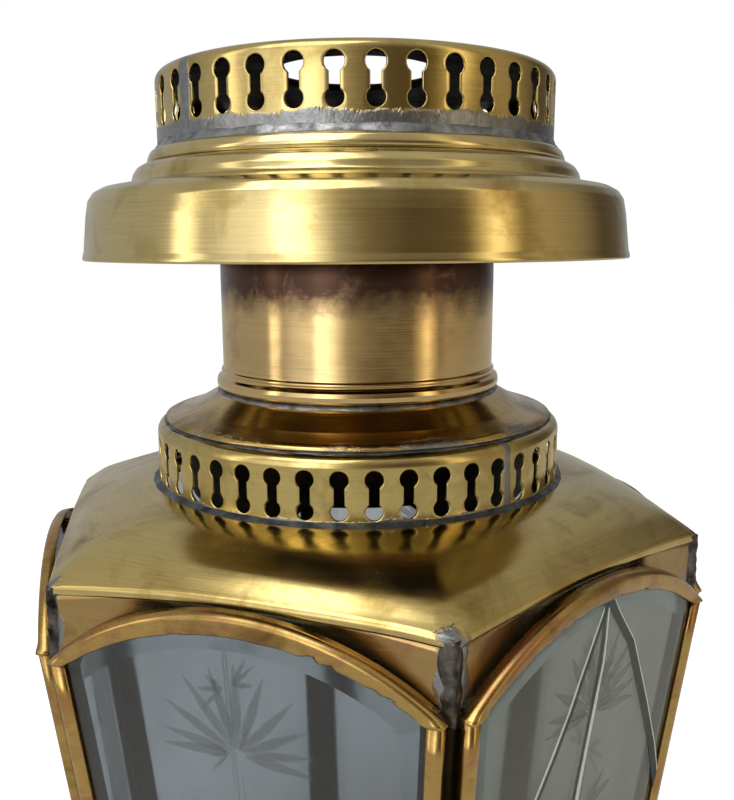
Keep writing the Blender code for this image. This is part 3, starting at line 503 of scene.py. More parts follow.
# %% Crown cap
profile = around(0, cap_high.z, [(29.4, 0), (40, -0.5), (54, -2.6)])
profile += around(CROWN_RADIUS, cap_low.z, [(-9, 2.9), (-2, 1)])
turned_piece("crown_cap_skin", "crown_cap", shadow_brass, profile, 4, second=soot_and_shade)

# %% [markdown]
# ## Pierced drums
# The crown and the lower gallery are strips, punched with slots on a press, rolled up and
# soldered. The punch rounds each slot's outer edge and leaves a wall that faces the light. One
# slot and the strip round it are made flat, as a ring extruded from the panel's edge down through
# the slot, then bent to the drum's radius and spun into the full row.

# %% One slot's outline, and the panel's outline that goes with it
LOBE_POINTS = 15
WAIST_POINTS = 5


def slot_ring(upper, lower, waist, pitch, grow, depth):
    """Points round a two-lobed slot, grown by a distance, at a depth behind the strip's face."""
    points = []
    for top_lobe in (True, False):
        here, other = (upper, lower) if top_lobe else (lower, upper)
        side = -1 if top_lobe else 1
        height = -side * pitch / 2
        neck = math.asin((waist + grow) / (here + grow))
        for i in range(LOBE_POINTS):
            angle = -math.pi / 2 + neck + (2 * math.pi - 2 * neck) * i / (LOBE_POINTS - 1)
            if not top_lobe:
                angle += math.pi
            points.append(Vector(((here + grow) * math.cos(angle), depth,
                                  height + (here + grow) * math.sin(angle))))
        far_neck = math.asin((waist + grow) / (other + grow))
        far = -height - side * (other + grow) * math.cos(far_neck)
        end = Vector((side * (waist + grow), depth, far))
        start = points[-1].copy()
        for i in range(1, WAIST_POINTS):
            points.append(start.lerp(end, i / WAIST_POINTS))
    return points


def panel_ring(ring, half_width, below, above, depth):
    """Carry a ring's points straight out to the panel's rectangle, four of them to its corners."""
    points = []
    for point in ring:
        reach = above if point.z > 0 else below
        stretch = min(half_width / max(abs(point.x), 1e-9), reach / max(abs(point.z), 1e-9))
        points.append(Vector((point.x * stretch, depth, point.z * stretch)))
    for x in (-half_width, half_width):
        for z in (-below, above):
            nearest = min(points, key=lambda p: abs(math.atan2(p.z, p.x) - math.atan2(z, x)))
            nearest.xyz = (x, depth, z)
    return points

# %% Punch, bend and spin a drum
ROLL_ANGLE = 86                       # how far a drum's top is rolled in, in degrees


def rim_edges(bm, height, radius):
    """The open edges that lie at a height and a radius."""
    found = []
    for edge in bm.edges:
        if edge.is_boundary:
            middle = (edge.verts[0].co + edge.verts[1].co) / 2
            away = abs(math.hypot(middle.x, middle.y) - radius)
            if abs(middle.z - height) < 0.05 * MM and away < 0.3 * MM:
                found.append(edge)
    return found


def roll_rim(bm, edges, steps):
    """Extrude a rim on through (change of radius, change of height) steps."""
    for d_radius, d_height in steps:
        grown = bmesh.ops.extrude_edge_only(bm, edges=edges)["geom"]
        edges = [item for item in grown if isinstance(item, bmesh.types.BMEdge)]
        for vert in (item for item in grown if isinstance(item, bmesh.types.BMVert)):
            vert.co += radial(vert.co) * d_radius + Vector((0, 0, d_height))


def arc_steps(radius, angle, count):
    """Changes of radius and height round an arc that starts straight up and leans inwards."""
    turns = [math.radians(angle) * i / count for i in range(count + 1)]
    return [(radius * (math.cos(b) - math.cos(a)), radius * (math.sin(b) - math.sin(a)))
            for a, b in zip(turns, turns[1:])]


def pierced_drum(radius, foot, top, roll, flat, slot_top, pitch, upper, lower, waist, count, turn):
    """A drum with a row of punched slots and a rolled-in top, both skins and both rims."""
    middle = top - slot_top - upper - pitch / 2
    straight = top - roll
    half_width = math.pi * radius / count
    below = middle - foot
    above = straight - middle
    edge = slot_ring(upper, lower, waist, pitch, 0.36 * MM, 0)
    panel = panel_ring(edge, half_width, below, above, 0)
    rings = [[a.lerp(b, i / 4) for a, b in zip(panel, edge)] for i in range(5)]
    for grow, depth in ((0.18, 0.05), (0.05, 0.18), (0, 0.4), (0, SHEET / MM)):
        rings.append(slot_ring(upper, lower, waist, pitch, grow * MM, depth * MM))
    rings.append(panel_ring(edge, half_width, below, above, SHEET))
    bm = skin(rings)
    for vert in bm.verts:
        angle = vert.co.x / radius
        reach = radius - vert.co.y
        vert.co = Vector((reach * math.sin(angle), -reach * math.cos(angle), vert.co.z + middle))
    bmesh.ops.rotate(bm, verts=bm.verts[:], cent=(0, 0, 0), matrix=Matrix.Rotation(turn, 3, "Z"))
    bmesh.ops.spin(bm, geom=bm.verts[:] + bm.edges[:] + bm.faces[:], cent=(0, 0, 0), axis=(0, 0, 1),
                   angle=2 * math.pi * (count - 1) / count, steps=count - 1, use_duplicate=True)
    bmesh.ops.remove_doubles(bm, verts=bm.verts[:], dist=0.01 * MM)
    level = [(-flat / 2, 0)] * 2
    over = arc_steps(roll, ROLL_ANGLE, 8) + level
    lip = math.radians(ROLL_ANGLE)
    through = (-SHEET * math.cos(lip), -SHEET * math.sin(lip))
    under = [(-a, -b) for a, b in reversed(arc_steps(roll - SHEET, ROLL_ANGLE, 8) + level)]
    roll_rim(bm, rim_edges(bm, straight, radius), over + [through] + under)
    roll_rim(bm, rim_edges(bm, foot, radius), [(-SHEET, 0)])
    bmesh.ops.remove_doubles(bm, verts=bm.verts[:], dist=0.02 * MM)
    bmesh.ops.recalc_face_normals(bm, faces=bm.faces[:])
    # faces that look inwards get the second finish, soot and painted shade
    for face in bm.faces:
        if face.normal.dot(radial(face.calc_center_median())) < -0.3:
            face.material_index = 1
    print("open edges left:", sum(e.is_boundary for e in bm.edges), "faces:", len(bm.faces))
    return bm

# %% Crown
CROWN_SLOTS = 37
CROWN_FIRST = math.radians(-73.1) + VIEW_TURN
crown_seam = VIEW_TURN - math.radians(49)


def crown_tin(co):
    ragged = 1.6 * MM * smooth_noise(co, 9 * MM)
    foot_band = share(co.z + ragged, crown_low.z + 7.5 * MM, crown_low.z + 4.5 * MM)
    angle = math.atan2(co.x, -co.y) - crown_seam
    strip = share(abs(angle) * CROWN_RADIUS + 1.2 * MM * smooth_noise(co, 6 * MM), 4 * MM, 1.5 * MM)
    return TIN * max(foot_band, 0.9 * strip)


bm = pierced_drum(CROWN_RADIUS, crown_low.z, crown_high.z, roll=3.2 * MM, flat=4 * MM,
                  slot_top=3.6 * MM, pitch=9.9 * MM, upper=3.1 * MM, lower=2.85 * MM,
                  waist=1.65 * MM, count=CROWN_SLOTS, turn=CROWN_FIRST)
dent(bm, 0.3 * MM, 28 * MM)
finish_piece("crown_skin", bm, crown_brass, ["crown_gallery"], sharp=50, tin=crown_tin, second=soot_and_shade)

# %% Lower gallery
GALLERY_SLOTS = 44
GALLERY_FIRST = math.radians(-61.8) + VIEW_TURN
gallery_seam = VIEW_TURN + math.radians(39.6)


def gallery_tin(co):
    ragged = 1.2 * MM * smooth_noise(co, 9 * MM)
    foot_band = share(co.z + ragged, gallery_low.z + 2.0 * MM, gallery_low.z + 0.6 * MM)
    inwards = math.hypot(co.x, co.y) + ragged
    top_ring = share(inwards, GALLERY_RADIUS - 3.6 * MM, GALLERY_RADIUS - 4.6 * MM)
    angle = math.atan2(co.x, -co.y) - gallery_seam
    strip = share(abs(angle) * GALLERY_RADIUS, 2.2 * MM, 0.8 * MM)
    return TIN * max(foot_band, top_ring, strip)


bm = pierced_drum(GALLERY_RADIUS, gallery_low.z, gallery_high.z, roll=4 * MM, flat=4 * MM,
                  slot_top=4.6 * MM, pitch=10.1 * MM, upper=2.95 * MM, lower=2.75 * MM,
                  waist=1.6 * MM, count=GALLERY_SLOTS, turn=GALLERY_FIRST)
dent(bm, 0.2 * MM, 25 * MM)
finish_piece("gallery_skin", bm, gallery_brass, ["lower_gallery"], sharp=50, tin=gallery_tin,
             second=soot_and_shade)

# %% [markdown]
# ## Solder fillets
# Where two sheets meet, the solder has run round as a fillet with a wandering edge. Each one is a
# small closed section spun about the axis, and its points are then pushed about by smooth noise.

# %% Solder rings
def solder_ring(name, section, wobble, size, material=solder):
    bm = turn_profile(section, 0, steps=220, closed=True)
    for vert in bm.verts:
        swell = wobble * smooth_noise(vert.co, size)
        swell += 0.4 * wobble * smooth_noise(vert.co, size / 3)
        vert.co += radial(vert.co) * swell + Vector((0, 0, 0.6 * swell))
    finish_piece(name, bm, material, sharp=70)


solder_ring("crown_solder", around(CROWN_RADIUS, crown_low.z, [
    (-0.8, -2.2), (-0.5, 2), (0.2, 1.7), (0.5, 0.6), (1.3, -0.3), (2, -1.6)]), 0.4 * MM, 8 * MM)
solder_ring("gallery_solder", around(GALLERY_RADIUS, gallery_low.z, [
    (-0.5, -0.6), (-0.5, 0.9), (0.2, 0.8), (0.6, 0.4), (1.5, 0.1), (2.4, -0.6)]), 0.4 * MM, 9 * MM,
    dark_solder)
solder_ring("cone_solder", around(GALLERY_RADIUS, gallery_high.z, [
    (-4.8, -0.1), (-4.3, 0.7), (-3.5, 0.6), (-3, 0.3), (-2.7, -0.1)]), 0.4 * MM, 9 * MM,
    dark_solder)
solder_ring("stack_solder", around(STACK_RADIUS, stack_low.z, [
    (0.4, -1), (0.8, 0.5), (1.8, 0.3), (2.3, -0.3), (2.5, -1.2)]), 0.35 * MM, 7 * MM)

# %% [markdown]
# ## Roof
# The roof was pressed from one sheet: round at the gallery, six-sided at the eaves, with creases
# that sharpen towards the corners, and its edge folded down over the spandrels. Rings of points
# go from the circle to the hexagon and over the fold, each extruded from the last.

# %% Roof hood
EAVE_APOTHEM = roof_high.y
EAVE_Z = roof_low.z + 1.1 * MM
ROOF_TOP = roof_high.z
EAVE_RISE = 3 * MM                    # how far an eave bows up at its middle
EAVE_LIP = 1.7 * MM                   # how far it turns down at its edge
SEAT_RADIUS = GALLERY_RADIUS + 2.3 * MM
ROOF_STEPS = 26
ROOF_RINGS = 22


def eave_height(where):
    """Height of the roof's edge; where runs from -1 to 1 along a side."""
    return EAVE_Z + EAVE_RISE * (1 - abs(where) ** 2.5)


def roof_ring(run, inset, drop):
    """One ring: run goes from the seat to the eaves, then inset and drop shape the fold."""
    ring = []
    for side in range(6):
        for i in range(ROOF_STEPS):
            where = -1 + 2 * i / ROOF_STEPS
            turn = math.atan(where * math.tan(math.pi / 6))
            angle = side * math.pi / 3 + turn
            edge = (EAVE_APOTHEM - inset) / math.cos(turn)
            reach = SEAT_RADIUS + (edge - SEAT_RADIUS) * run
            fall = ROOF_TOP - eave_height(where) - EAVE_LIP
            lip = EAVE_LIP * share(run, 0.78, 1.04)
            height = ROOF_TOP - fall * max(run, 0) ** 1.6 - lip - drop
            spot = Vector((reach * math.sin(angle), -reach * math.cos(angle), height))
            uneven = 0.55 * MM * smooth_noise(spot, 34 * MM)
            spot.z += uneven * share(run, 0.05, 0.4) * share(run, 1.3, 0.9)
            ring.append(spot)
    return ring


rows = [[Vector((p.x, p.y, ROOF_TOP)) for p in roof_ring(-0.06, 0, 0)]]
for i in range(ROOF_RINGS + 1):
    rows.append(roof_ring(i / ROOF_RINGS, 1.3 * MM, 0))
for inset, drop in ((0.75, 0.35), (0.3, 0.85), (0.02, 1.6), (-0.05, 2.8), (-0.05, 3.6)):
    rows.append(roof_ring(1, inset * MM, drop * MM))


def roof_tin(co):
    turn = (math.degrees(math.atan2(co.x, -co.y)) + 30) % 60
    from_ridge = math.radians(min(turn, 60 - turn)) * math.hypot(co.x, co.y)
    corner = share(math.hypot(co.x, co.y), EAVE_APOTHEM + 11 * MM, EAVE_APOTHEM + 14 * MM)
    return 0.6 * corner * share(from_ridge + 1.5 * MM * smooth_noise(co, 8 * MM), 5 * MM, 3 * MM)


bm = skin(rows)
face_towards(bm, straight_up)
# the roof's underside takes the soot-and-shade finish
finish_piece("roof_skin", bm, roof_brass, ["roof_hood"], sharp=50, tin=roof_tin, wall=SHEET,
             second=soot_and_shade)

# %% [markdown]
# ## Glazed sides
# Each side is a flat frame that leans outwards: a rolled arch over the head, a rolled channel
# down the sides and along the sill, and a bevelled pane. They are drawn flat, with X along the
# sill, Y up the side and Z out of it, then moved to their place, so that one drawing serves six
# sides.

# %% The leaning side's own frame
sash_low, sash_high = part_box("side_1_channel")
hinge = next(joint for joint in frame["joints"] if joint["name"] == "door_hinge")
hinge_axis = Vector(hinge["axis"])
LEAN = math.atan(math.hypot(hinge_axis.x, hinge_axis.y) / hinge_axis.z * math.cos(math.pi / 6))
SPREAD = math.atan(math.sin(LEAN) * math.tan(math.pi / 6))
FRAME_DEPTH = 4.8 * MM
SILL_Z = sash_low.z + FRAME_DEPTH * math.sin(LEAN)
SILL_APOTHEM = -sash_high.y - 0.3 * MM * math.cos(LEAN)
SPRING_V = (sash_high.z - SILL_Z) / math.cos(LEAN) + 0.2 * MM
CORNER_GAP = 4.3 * MM                 # from a frame's edge to the corner, where a post shows
ARCH_RISE = 23.5 * MM
SIDE_FLANGE = 5.2 * MM
ARCH_FLANGE = 7 * MM
print("lean in degrees:", round(math.degrees(LEAN), 2),
      "sill apothem in mm:", round(SILL_APOTHEM / MM, 2))


def side_matrix(side):
    angle = side * math.pi / 3
    out = outward(angle)
    along = sideways(angle)
    up = out * math.sin(LEAN) + Vector((0, 0, math.cos(LEAN)))
    matrix = Matrix((along, up, along.cross(up))).transposed().to_4x4()
    matrix.translation = out * SILL_APOTHEM + Vector((0, 0, SILL_Z))
    return matrix


def frame_edge(v, inset=0.0):
    """Half width of a frame's outer edge, at v up the side, moved in by an inset."""
    apothem = SILL_APOTHEM + v * math.sin(LEAN) + FRAME_DEPTH * math.cos(LEAN)
    return apothem * math.tan(math.pi / 6) - CORNER_GAP - inset / math.cos(SPREAD)


def arc_point(radius, centre, angle):
    """A point on a side's arch, at an angle from upright."""
    return Vector((radius * math.sin(angle), centre + radius * math.cos(angle)))


def arch_circle(half_chord, rise):
    radius = (half_chord ** 2 + rise ** 2) / (2 * rise)
    return radius, math.asin(half_chord / radius)


ARCH_HALF = frame_edge(SPRING_V)
ARCH_RADIUS, ARCH_ANGLE = arch_circle(ARCH_HALF, ARCH_RISE)
ARCH_CENTRE = SPRING_V + ARCH_RISE - ARCH_RADIUS
INNER_HALF = ARCH_HALF - SIDE_FLANGE - 2.3 * MM
INNER_RADIUS, INNER_ANGLE = arch_circle(INNER_HALF, ARCH_RISE - ARCH_FLANGE)
INNER_CENTRE = SPRING_V + ARCH_RISE - ARCH_FLANGE - INNER_RADIUS
LABELS = ["side_1", "side_2", "side_3", "door", "side_5", "side_6"]

# %% Rolled channel down the sides and along the sill
def rolled_section(flange):
    """The channel's visible skin: (distance in from the outer edge, distance out) points."""
    return [(0, 0.4 * MM), (0, 3.0 * MM), (0.3 * MM, 4.0 * MM), (1.1 * MM, 4.7 * MM),
            (2.3 * MM, FRAME_DEPTH + 0.1 * MM), (0.62 * flange, FRAME_DEPTH),
            (flange - 0.9 * MM, FRAME_DEPTH - 0.35 * MM),
            (flange - 0.2 * MM, FRAME_DEPTH - 0.9 * MM), (flange, FRAME_DEPTH - 1.7 * MM)]


def channel_row(side, v):
    """The section at v up a side; side is -1 or 1, or lies between them along the sill."""
    return [Vector((frame_edge(max(v, d), d) * side, max(v, d), w))
            for d, w in rolled_section(SIDE_FLANGE)]


def channel_rows():
    """Rows down the left side, along the sill and up the right side."""
    heights = [SPRING_V * (1 - i / 14) for i in range(14)]
    return ([channel_row(-1, v) for v in heights] + [channel_row(-1 + i / 4, 0) for i in range(9)]
            + [channel_row(1, v) for v in reversed(heights)])

# %% Rolled arch with its crimped edge
def bite(where, marks):
    """How deep the pliers bit at a place on the arch, from 0 to 1."""
    return max([0] + [math.exp(-((where - mark) / width) ** 2) * depth
                      for mark, width, depth in marks])


ARCH_STEPS = 90


def arch_rows(marks):
    rows = []
    for i in range(ARCH_STEPS + 1):
        where = (-1 + 2 * i / ARCH_STEPS) * 1.012
        outer = arc_point(ARCH_RADIUS, ARCH_CENTRE, where * ARCH_ANGLE)
        inner = arc_point(INNER_RADIUS, INNER_CENTRE, where * INNER_ANGLE)
        across = inner - outer
        flange = across.length
        across.normalize()
        tip = share(abs(where), 0.955, 1.012)
        depth = bite(where, marks)
        wander = 0.25 * MM * smooth_noise((where * 9, marks[0][0] * 40, 0), 1)
        row = []
        for n, (d, w) in enumerate(rolled_section(flange)):
            near_edge = share(n, 4, 8)
            d += (wander - 1.7 * MM * depth) * near_edge
            w -= 1.3 * MM * depth * near_edge
            w += 0.7 * MM * tip * share(n, 1, 3)
            d *= 1 - 0.15 * tip * near_edge
            row.append(Vector((outer.x + across.x * d, outer.y + across.y * d, w)))
        rows.append(row)
    return rows


# for each side, (place along the arch from -1 to 1, width, depth) of each bite
CRIMPS = [
    [(0.42, 0.022, 1), (0.52, 0.016, 0.8), (0.75, 0.014, 0.6), (0.83, 0.02, 0.9),
     (-0.3, 0.03, 0.2)],
    [(-0.62, 0.012, 0.3), (-0.42, 0.02, 0.5), (-0.3, 0.016, 0.4), (0.1, 0.02, 0.3),
     (0.36, 0.018, 0.4)],
    [(0.12, 0.020, 0.6), (0.70, 0.018, 0.5), (-0.55, 0.022, 0.7)],
    [(-0.20, 0.020, 0.5), (0.44, 0.016, 0.7), (0.58, 0.018, 0.4)],
    [(-0.66, 0.020, 0.6), (0.05, 0.016, 0.3), (0.62, 0.022, 0.7)],
    [(-0.72, 0.018, 0.5), (0.25, 0.020, 0.6), (0.50, 0.016, 0.4)],
]

# %% Bevelled pane
def pane_outline(inset, steps=36):
    """A pane's outline: sill, leaning sides and arched head."""
    radius = ARCH_RADIUS - inset
    slope = math.tan(SPREAD)
    foot = frame_edge(0, inset)
    a = 1 + slope ** 2
    b = foot * slope - ARCH_CENTRE
    c = foot ** 2 + ARCH_CENTRE ** 2 - radius ** 2
    head = (-b + math.sqrt(b * b - a * c)) / a
    half_angle = math.asin((foot + slope * head) / radius)
    points = [(frame_edge(inset, inset), inset), (-frame_edge(inset, inset), inset)]
    for i in range(steps + 1):
        angle = half_angle * (2 * i / steps - 1)
        points.append((radius * math.sin(angle), ARCH_CENTRE + radius * math.cos(angle)))
    return points


GLASS_BACK = 1.4 * MM
GLASS_WALL = 2.3 * MM
GLASS_RIM = 1.2 * MM
BEVEL_WIDTH = 10 * MM


def pane_mesh():
    rim = pane_outline(1.1 * MM)
    flat = pane_outline(1.1 * MM + BEVEL_WIDTH)
    bm = skin([
        [Vector((u, v, GLASS_BACK)) for u, v in rim],
        [Vector((u, v, GLASS_BACK + GLASS_RIM)) for u, v in rim],
        [Vector((u, v, GLASS_BACK + GLASS_WALL)) for u, v in flat]])
    bmesh.ops.holes_fill(bm, edges=[e for e in bm.edges if e.is_boundary], sides=0)
    bmesh.ops.recalc_face_normals(bm, faces=bm.faces[:])
    for face in bm.faces:
        if face.normal.z > 0.5 and len(face.verts) == 4:
            face.material_index = 1
    return bm

# %% [markdown]
# ## Glass
# The panes are old drawn glass, about two millimetres thick, faintly grey, with a wide bevel ground
# by hand and a leaf cut on a wheel. Their grey is drawn darker than the glass, and one pane olive,
# as painted shade: it stands for the dim room seen through them. Clear glass is a smooth
# dielectric; the bevel and the cuts were never fully polished, so they scatter light and look
# greyer than the pane.

# %% Glass finishes
def old_glass(name, grey_and_shade, roughness, wave):
    """Drawn window glass: slow ripples and a faint grey, made darker as painted shade of the dim
    room seen through it.
    """
    material, shader, spot = start_material(name, IOR=1.5, Transmission_Weight=1.0)
    film = add_node(material, "TexNoise", Vector=spot, Scale=25, Detail=6, Roughness=0.6)
    dust = add_node(material, "MapRange", Value=film, From_Min=0.4, From_Max=0.8, To_Min=1.0,
        To_Max=0.86)
    colour = add_node(material, "VectorMath", srgb(grey_and_shade)[:3], dust, operation="MULTIPLY")
    haze = add_node(material, "MapRange", Value=film, From_Min=0.45, From_Max=0.8, To_Min=roughness,
        To_Max=roughness + 0.06)
    swell = add_node(material, "TexNoise", Vector=spot, Scale=30, Detail=1)
    bump = add_node(material, "Bump", Height=swell, Distance=wave * MM)
    set_inputs(shader, Base_Color=colour, Roughness=haze, Normal=bump)
    return material


def cut_glass(name, tone, cover):
    """Wheel-cut glass, left matt: part of the light passes, the rest is scattered."""
    material, shader, spot = start_material(name, Roughness=0.45, IOR=1.5, Alpha=cover)
    grit = add_node(material, "TexNoise", Vector=spot, Scale=900, Detail=4, Roughness=0.7)
    colour = add_node(material, "MapRange", Value=grit, From_Min=0.3, From_Max=0.7, To_Min=0.8,
        To_Max=1.15)
    mixed = add_node(material, "VectorMath", srgb(tone)[:3], colour, operation="MULTIPLY")
    set_inputs(shader, Base_Color=mixed)
    return material


# the pane colours are a faint grey and painted shade: they darken the view through the glass as the
# dim room would
pane_glass = old_glass("drawn_glass", "#c6ced5", 0.03, 0.06)
olive_shade_glass = old_glass("olive_shade_drawn_glass", "#b4b6a6", 0.03, 0.06)
ground_bevel = old_glass("ground_bevel", "#b3bfc6", 0.10, 0.12)
teal_shade_bevel = old_glass("teal_shade_ground_bevel", "#b6cdc8", 0.10, 0.12)
wheel_cut = cut_glass("wheel_cut_glass", "#666c72", 0.42)
# painted shade and a painted glint: flat dark and bright strips that stand for the crack's light
painted_crack_shade = cut_glass("crack_shadow", "#1c2a2a", 0.85)
painted_crack_glint = cut_glass("crack_glint", "#e8f0ee", 0.8)

# %% Make the six glazed sides
for side, label in enumerate(LABELS):
    place = side_matrix(side)
    body = "door" if label == "door" else "lantern"
    for part, rows in (("channel", channel_rows()), ("arch", arch_rows(CRIMPS[side]))):
        bm = skin(rows, closed=False)
        face_towards(bm, straight_up)
        bmesh.ops.transform(bm, verts=bm.verts[:], matrix=place)
        # the inner side of each channel and arch takes the shadow brass, painted shade seen through
        # the glass
        finish_piece(f"{label}_{part}_skin", bm, frame_brass, [f"{label}_{part}"], body=body,
                     sharp=60, wall=0.8 * MM, second=shadow_brass)
    bm = pane_mesh()
    bmesh.ops.transform(bm, verts=bm.verts[:], matrix=place)
    # side 2's olive and teal are painted shade of the room seen through it
    glass, bevel = (olive_shade_glass, teal_shade_bevel) if label == "side_2" else (pane_glass, ground_bevel)
    finish_piece(f"{label}_pane", bm, glass, [f"{label}_glass"], body=body, sharp=3,
                 second=bevel)

# %% [markdown]
# ## The cut leaf
# Each pane carries a spray of pointed leaves. A stroke of the wheel starts fine, widens and ends
# fine, so each one is a circle of points drawn out into a spindle, with its middle sunk into a
# groove.

# %% Leaf strokes
FAN_CENTRE = 197 * MM
FAN = [(-90, 22), (-77, 22), (-56, 25), (-33, 27), (-14, 27), (2, 29), (20, 27), (42, 26), (62, 23),
       (82, 22), (98, 22)]
LOWER = [(-112, 15), (-68, 17), (-40, 16), (40, 16), (68, 17), (112, 15)]


def stroke(bm, start, angle, length, width):
    """One wheel cut, a spindle from start in a direction given in degrees from upright."""
    made = bmesh.ops.create_circle(bm, cap_ends=True, segments=20, radius=1)["verts"]
    for vert in made:
        along = vert.co.y
        vert.co.x *= width / 2 * (1 - 0.35 * along) * (1 - along * along) ** 0.35
        vert.co.y = length * (along + 1) / 2
    face = made[0].link_faces[0]
    centre = bmesh.ops.poke(bm, faces=[face])["verts"][0]
    centre.co.z -= 0.25 * MM
    turn = Matrix.Rotation(math.radians(-angle), 4, "Z")
    bmesh.ops.transform(bm, verts=made + [centre], matrix=Matrix.Translation((*start, 0)) @ turn)


def leaf_spray():
    bm = bmesh.new()
    for angle, length in FAN:
        way = math.radians(angle)
        start = (2.2 * MM * math.sin(way), FAN_CENTRE + 2.2 * MM * math.cos(way))
        stroke(bm, start, angle, length * MM, 3.3 * MM)
    for side in (-1, 1):
        stroke(bm, (side * 0.9 * MM, 62 * MM), 0, 131 * MM, 1.0 * MM)
    for level, size in ((158 * MM, 1.0), (122 * MM, 0.9), (88 * MM, 0.75)):
        for angle, length in LOWER:
            lift = 3 * MM * (1 if angle > 0 else -1)
            stroke(bm, (lift, level), angle, length * size * MM, 3.2 * MM * size)
    return bm


for side, label in enumerate(LABELS):
    bm = leaf_spray()
    lift = Matrix.Translation((0, 0, GLASS_BACK + GLASS_WALL + 0.06 * MM))
    bmesh.ops.recalc_face_normals(bm, faces=bm.faces[:])
    bmesh.ops.transform(bm, verts=bm.verts[:], matrix=side_matrix(side) @ lift)
    finish_piece(f"{label}_cut_leaf", bm, wheel_cut, body="door" if label == "door" else "lantern")

# %% [markdown]
# ## The cracked pane
# One pane has cracked from a point near the head of its arch. A crack is a thin wall of air across
# the glass: from one side it is dark, from the other it flashes. Each is a narrow sliver of two
# strips laid on the glass, a painted shadow and a painted glint.

# %% Cracks
LEFT_CRACK = [(0.2, 236), (-3.5, 226), (-8.6, 212), (-12, 202), (-18, 188), (-27, 170), (-38, 148),
              (-45, 133), (-51, 121)]
MIDDLE_CRACK = [(0.2, 236), (1.6, 222), (2.1, 213.8), (1.1, 200), (-0.4, 180), (-1.6, 160),
                (-2.0, 120), (-3.2, 84), (-2.4, 46), (-3.0, 6)]
RIGHT_CRACK = [(0.2, 236), (4.6, 230), (16.9, 215.7), (32.4, 187.6), (44, 165), (51, 148),
               (54, 141)]
# the crack's line, its finish, its width at both ends and its shift sideways, in mm
CRACKS = [
    (LEFT_CRACK, painted_crack_glint, 0.9, 2.2, -1.2), (LEFT_CRACK, painted_crack_shade, 2.0, 1.6, 0.4),
    (MIDDLE_CRACK, painted_crack_glint, 0.6, 3.4, 0.0), (MIDDLE_CRACK, painted_crack_shade, 1.6, 1.2, -1.8),
    (RIGHT_CRACK, painted_crack_shade, 4.2, 3.2, 0.0), (RIGHT_CRACK, painted_crack_glint, 0.3, 0.7, 2.2),
]


def crack_rows(points, first, last, shift):
    rows = []
    for i, (u, v) in enumerate(points):
        half = (first + (last - first) * i / (len(points) - 1)) / 2
        half *= 1 + 0.35 * smooth_noise((u, v, shift), 7)
        rows.append([Vector(((u + shift + side * half) * MM, v * MM, 0)) for side in (-1, 0, 1)])
    return rows


for i, (points, finish, first, last, shift) in enumerate(CRACKS):
    bm = skin(crack_rows(points, first, last, shift), closed=False)
    face_towards(bm, straight_up)
    lift = Matrix.Translation((0, 0, GLASS_BACK + GLASS_WALL + (0.10 + 0.02 * i) * MM))
    bmesh.ops.transform(bm, verts=bm.verts[:], matrix=side_matrix(1) @ lift)
    finish_piece(f"crack_{i + 1}", bm, finish)

# %% [markdown]
# ## Spandrels
# The plates between the arches and the eaves are brass gone copper-pink, with solder run into
# their corners. Each is a line of edges extruded from the eave down to the arch, hollowed a
# little.

# %% Spandrel plates
def spandrel_tin(side):
    def tin(co):
        angle = side * math.pi / 3
        along = co.x * math.cos(angle) + co.y * math.sin(angle)
        rough = 4 * MM * smooth_noise(co, 10 * MM)
        corner = share(abs(along) + rough, 54 * MM, 60 * MM)
        middle = share(abs(along - 4 * MM) + rough, 15 * MM, 9 * MM)
        middle *= share(co.z + 0.3 * rough, EAVE_Z - 6.5 * MM, EAVE_Z - 3 * MM)
        return TIN * max(corner, middle)
    return tin


SPRING_Z = sash_high.z
spandrel_low, spandrel_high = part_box("spandrel_1")
half = spandrel_high.x
apothem = -spandrel_low.y
centre = SPRING_Z + ARCH_RISE - ARCH_RADIUS
for side in range(6):
    angle = side * math.pi / 3
    out = outward(angle)
    along = sideways(angle)
    rows = []
    for level in range(9):
        row = []
        for i in range(41):
            where = -1 + i / 20
            top = eave_height(where) - 3.0 * MM
            x = where * half
            bottom = centre + math.sqrt(max(0, (ARCH_RADIUS - 3 * MM) ** 2 - x * x)) - 0.5 * MM
            bottom = max(bottom, SPRING_Z - 1 * MM)
            z = top + (bottom - top) * level / 8
            hollow = 0.9 * MM * math.sin(math.pi * level / 8) * (1 - where * where)
            hollow += 0.4 * MM * smooth_noise((x, z, side), 15 * MM)
            row.append(out * (apothem - hollow) + along * x + Vector((0, 0, z)))
        rows.append(row)
    bm = skin(rows, closed=False)
    face_towards(bm, flat_out)
    finish_piece(f"spandrel_{side + 1}_skin", bm, spandrel_brass, [f"spandrel_{side + 1}"],
                 sharp=60, tin=spandrel_tin(side), wall=SHEET)

# %% [markdown]
# ## Solder at the corners
# Where the roof and two spandrels meet, the solder was drawn down the corner with the iron. It is
# a ribbon of rows down the corner, swollen in the middle and thinning out on both plates.

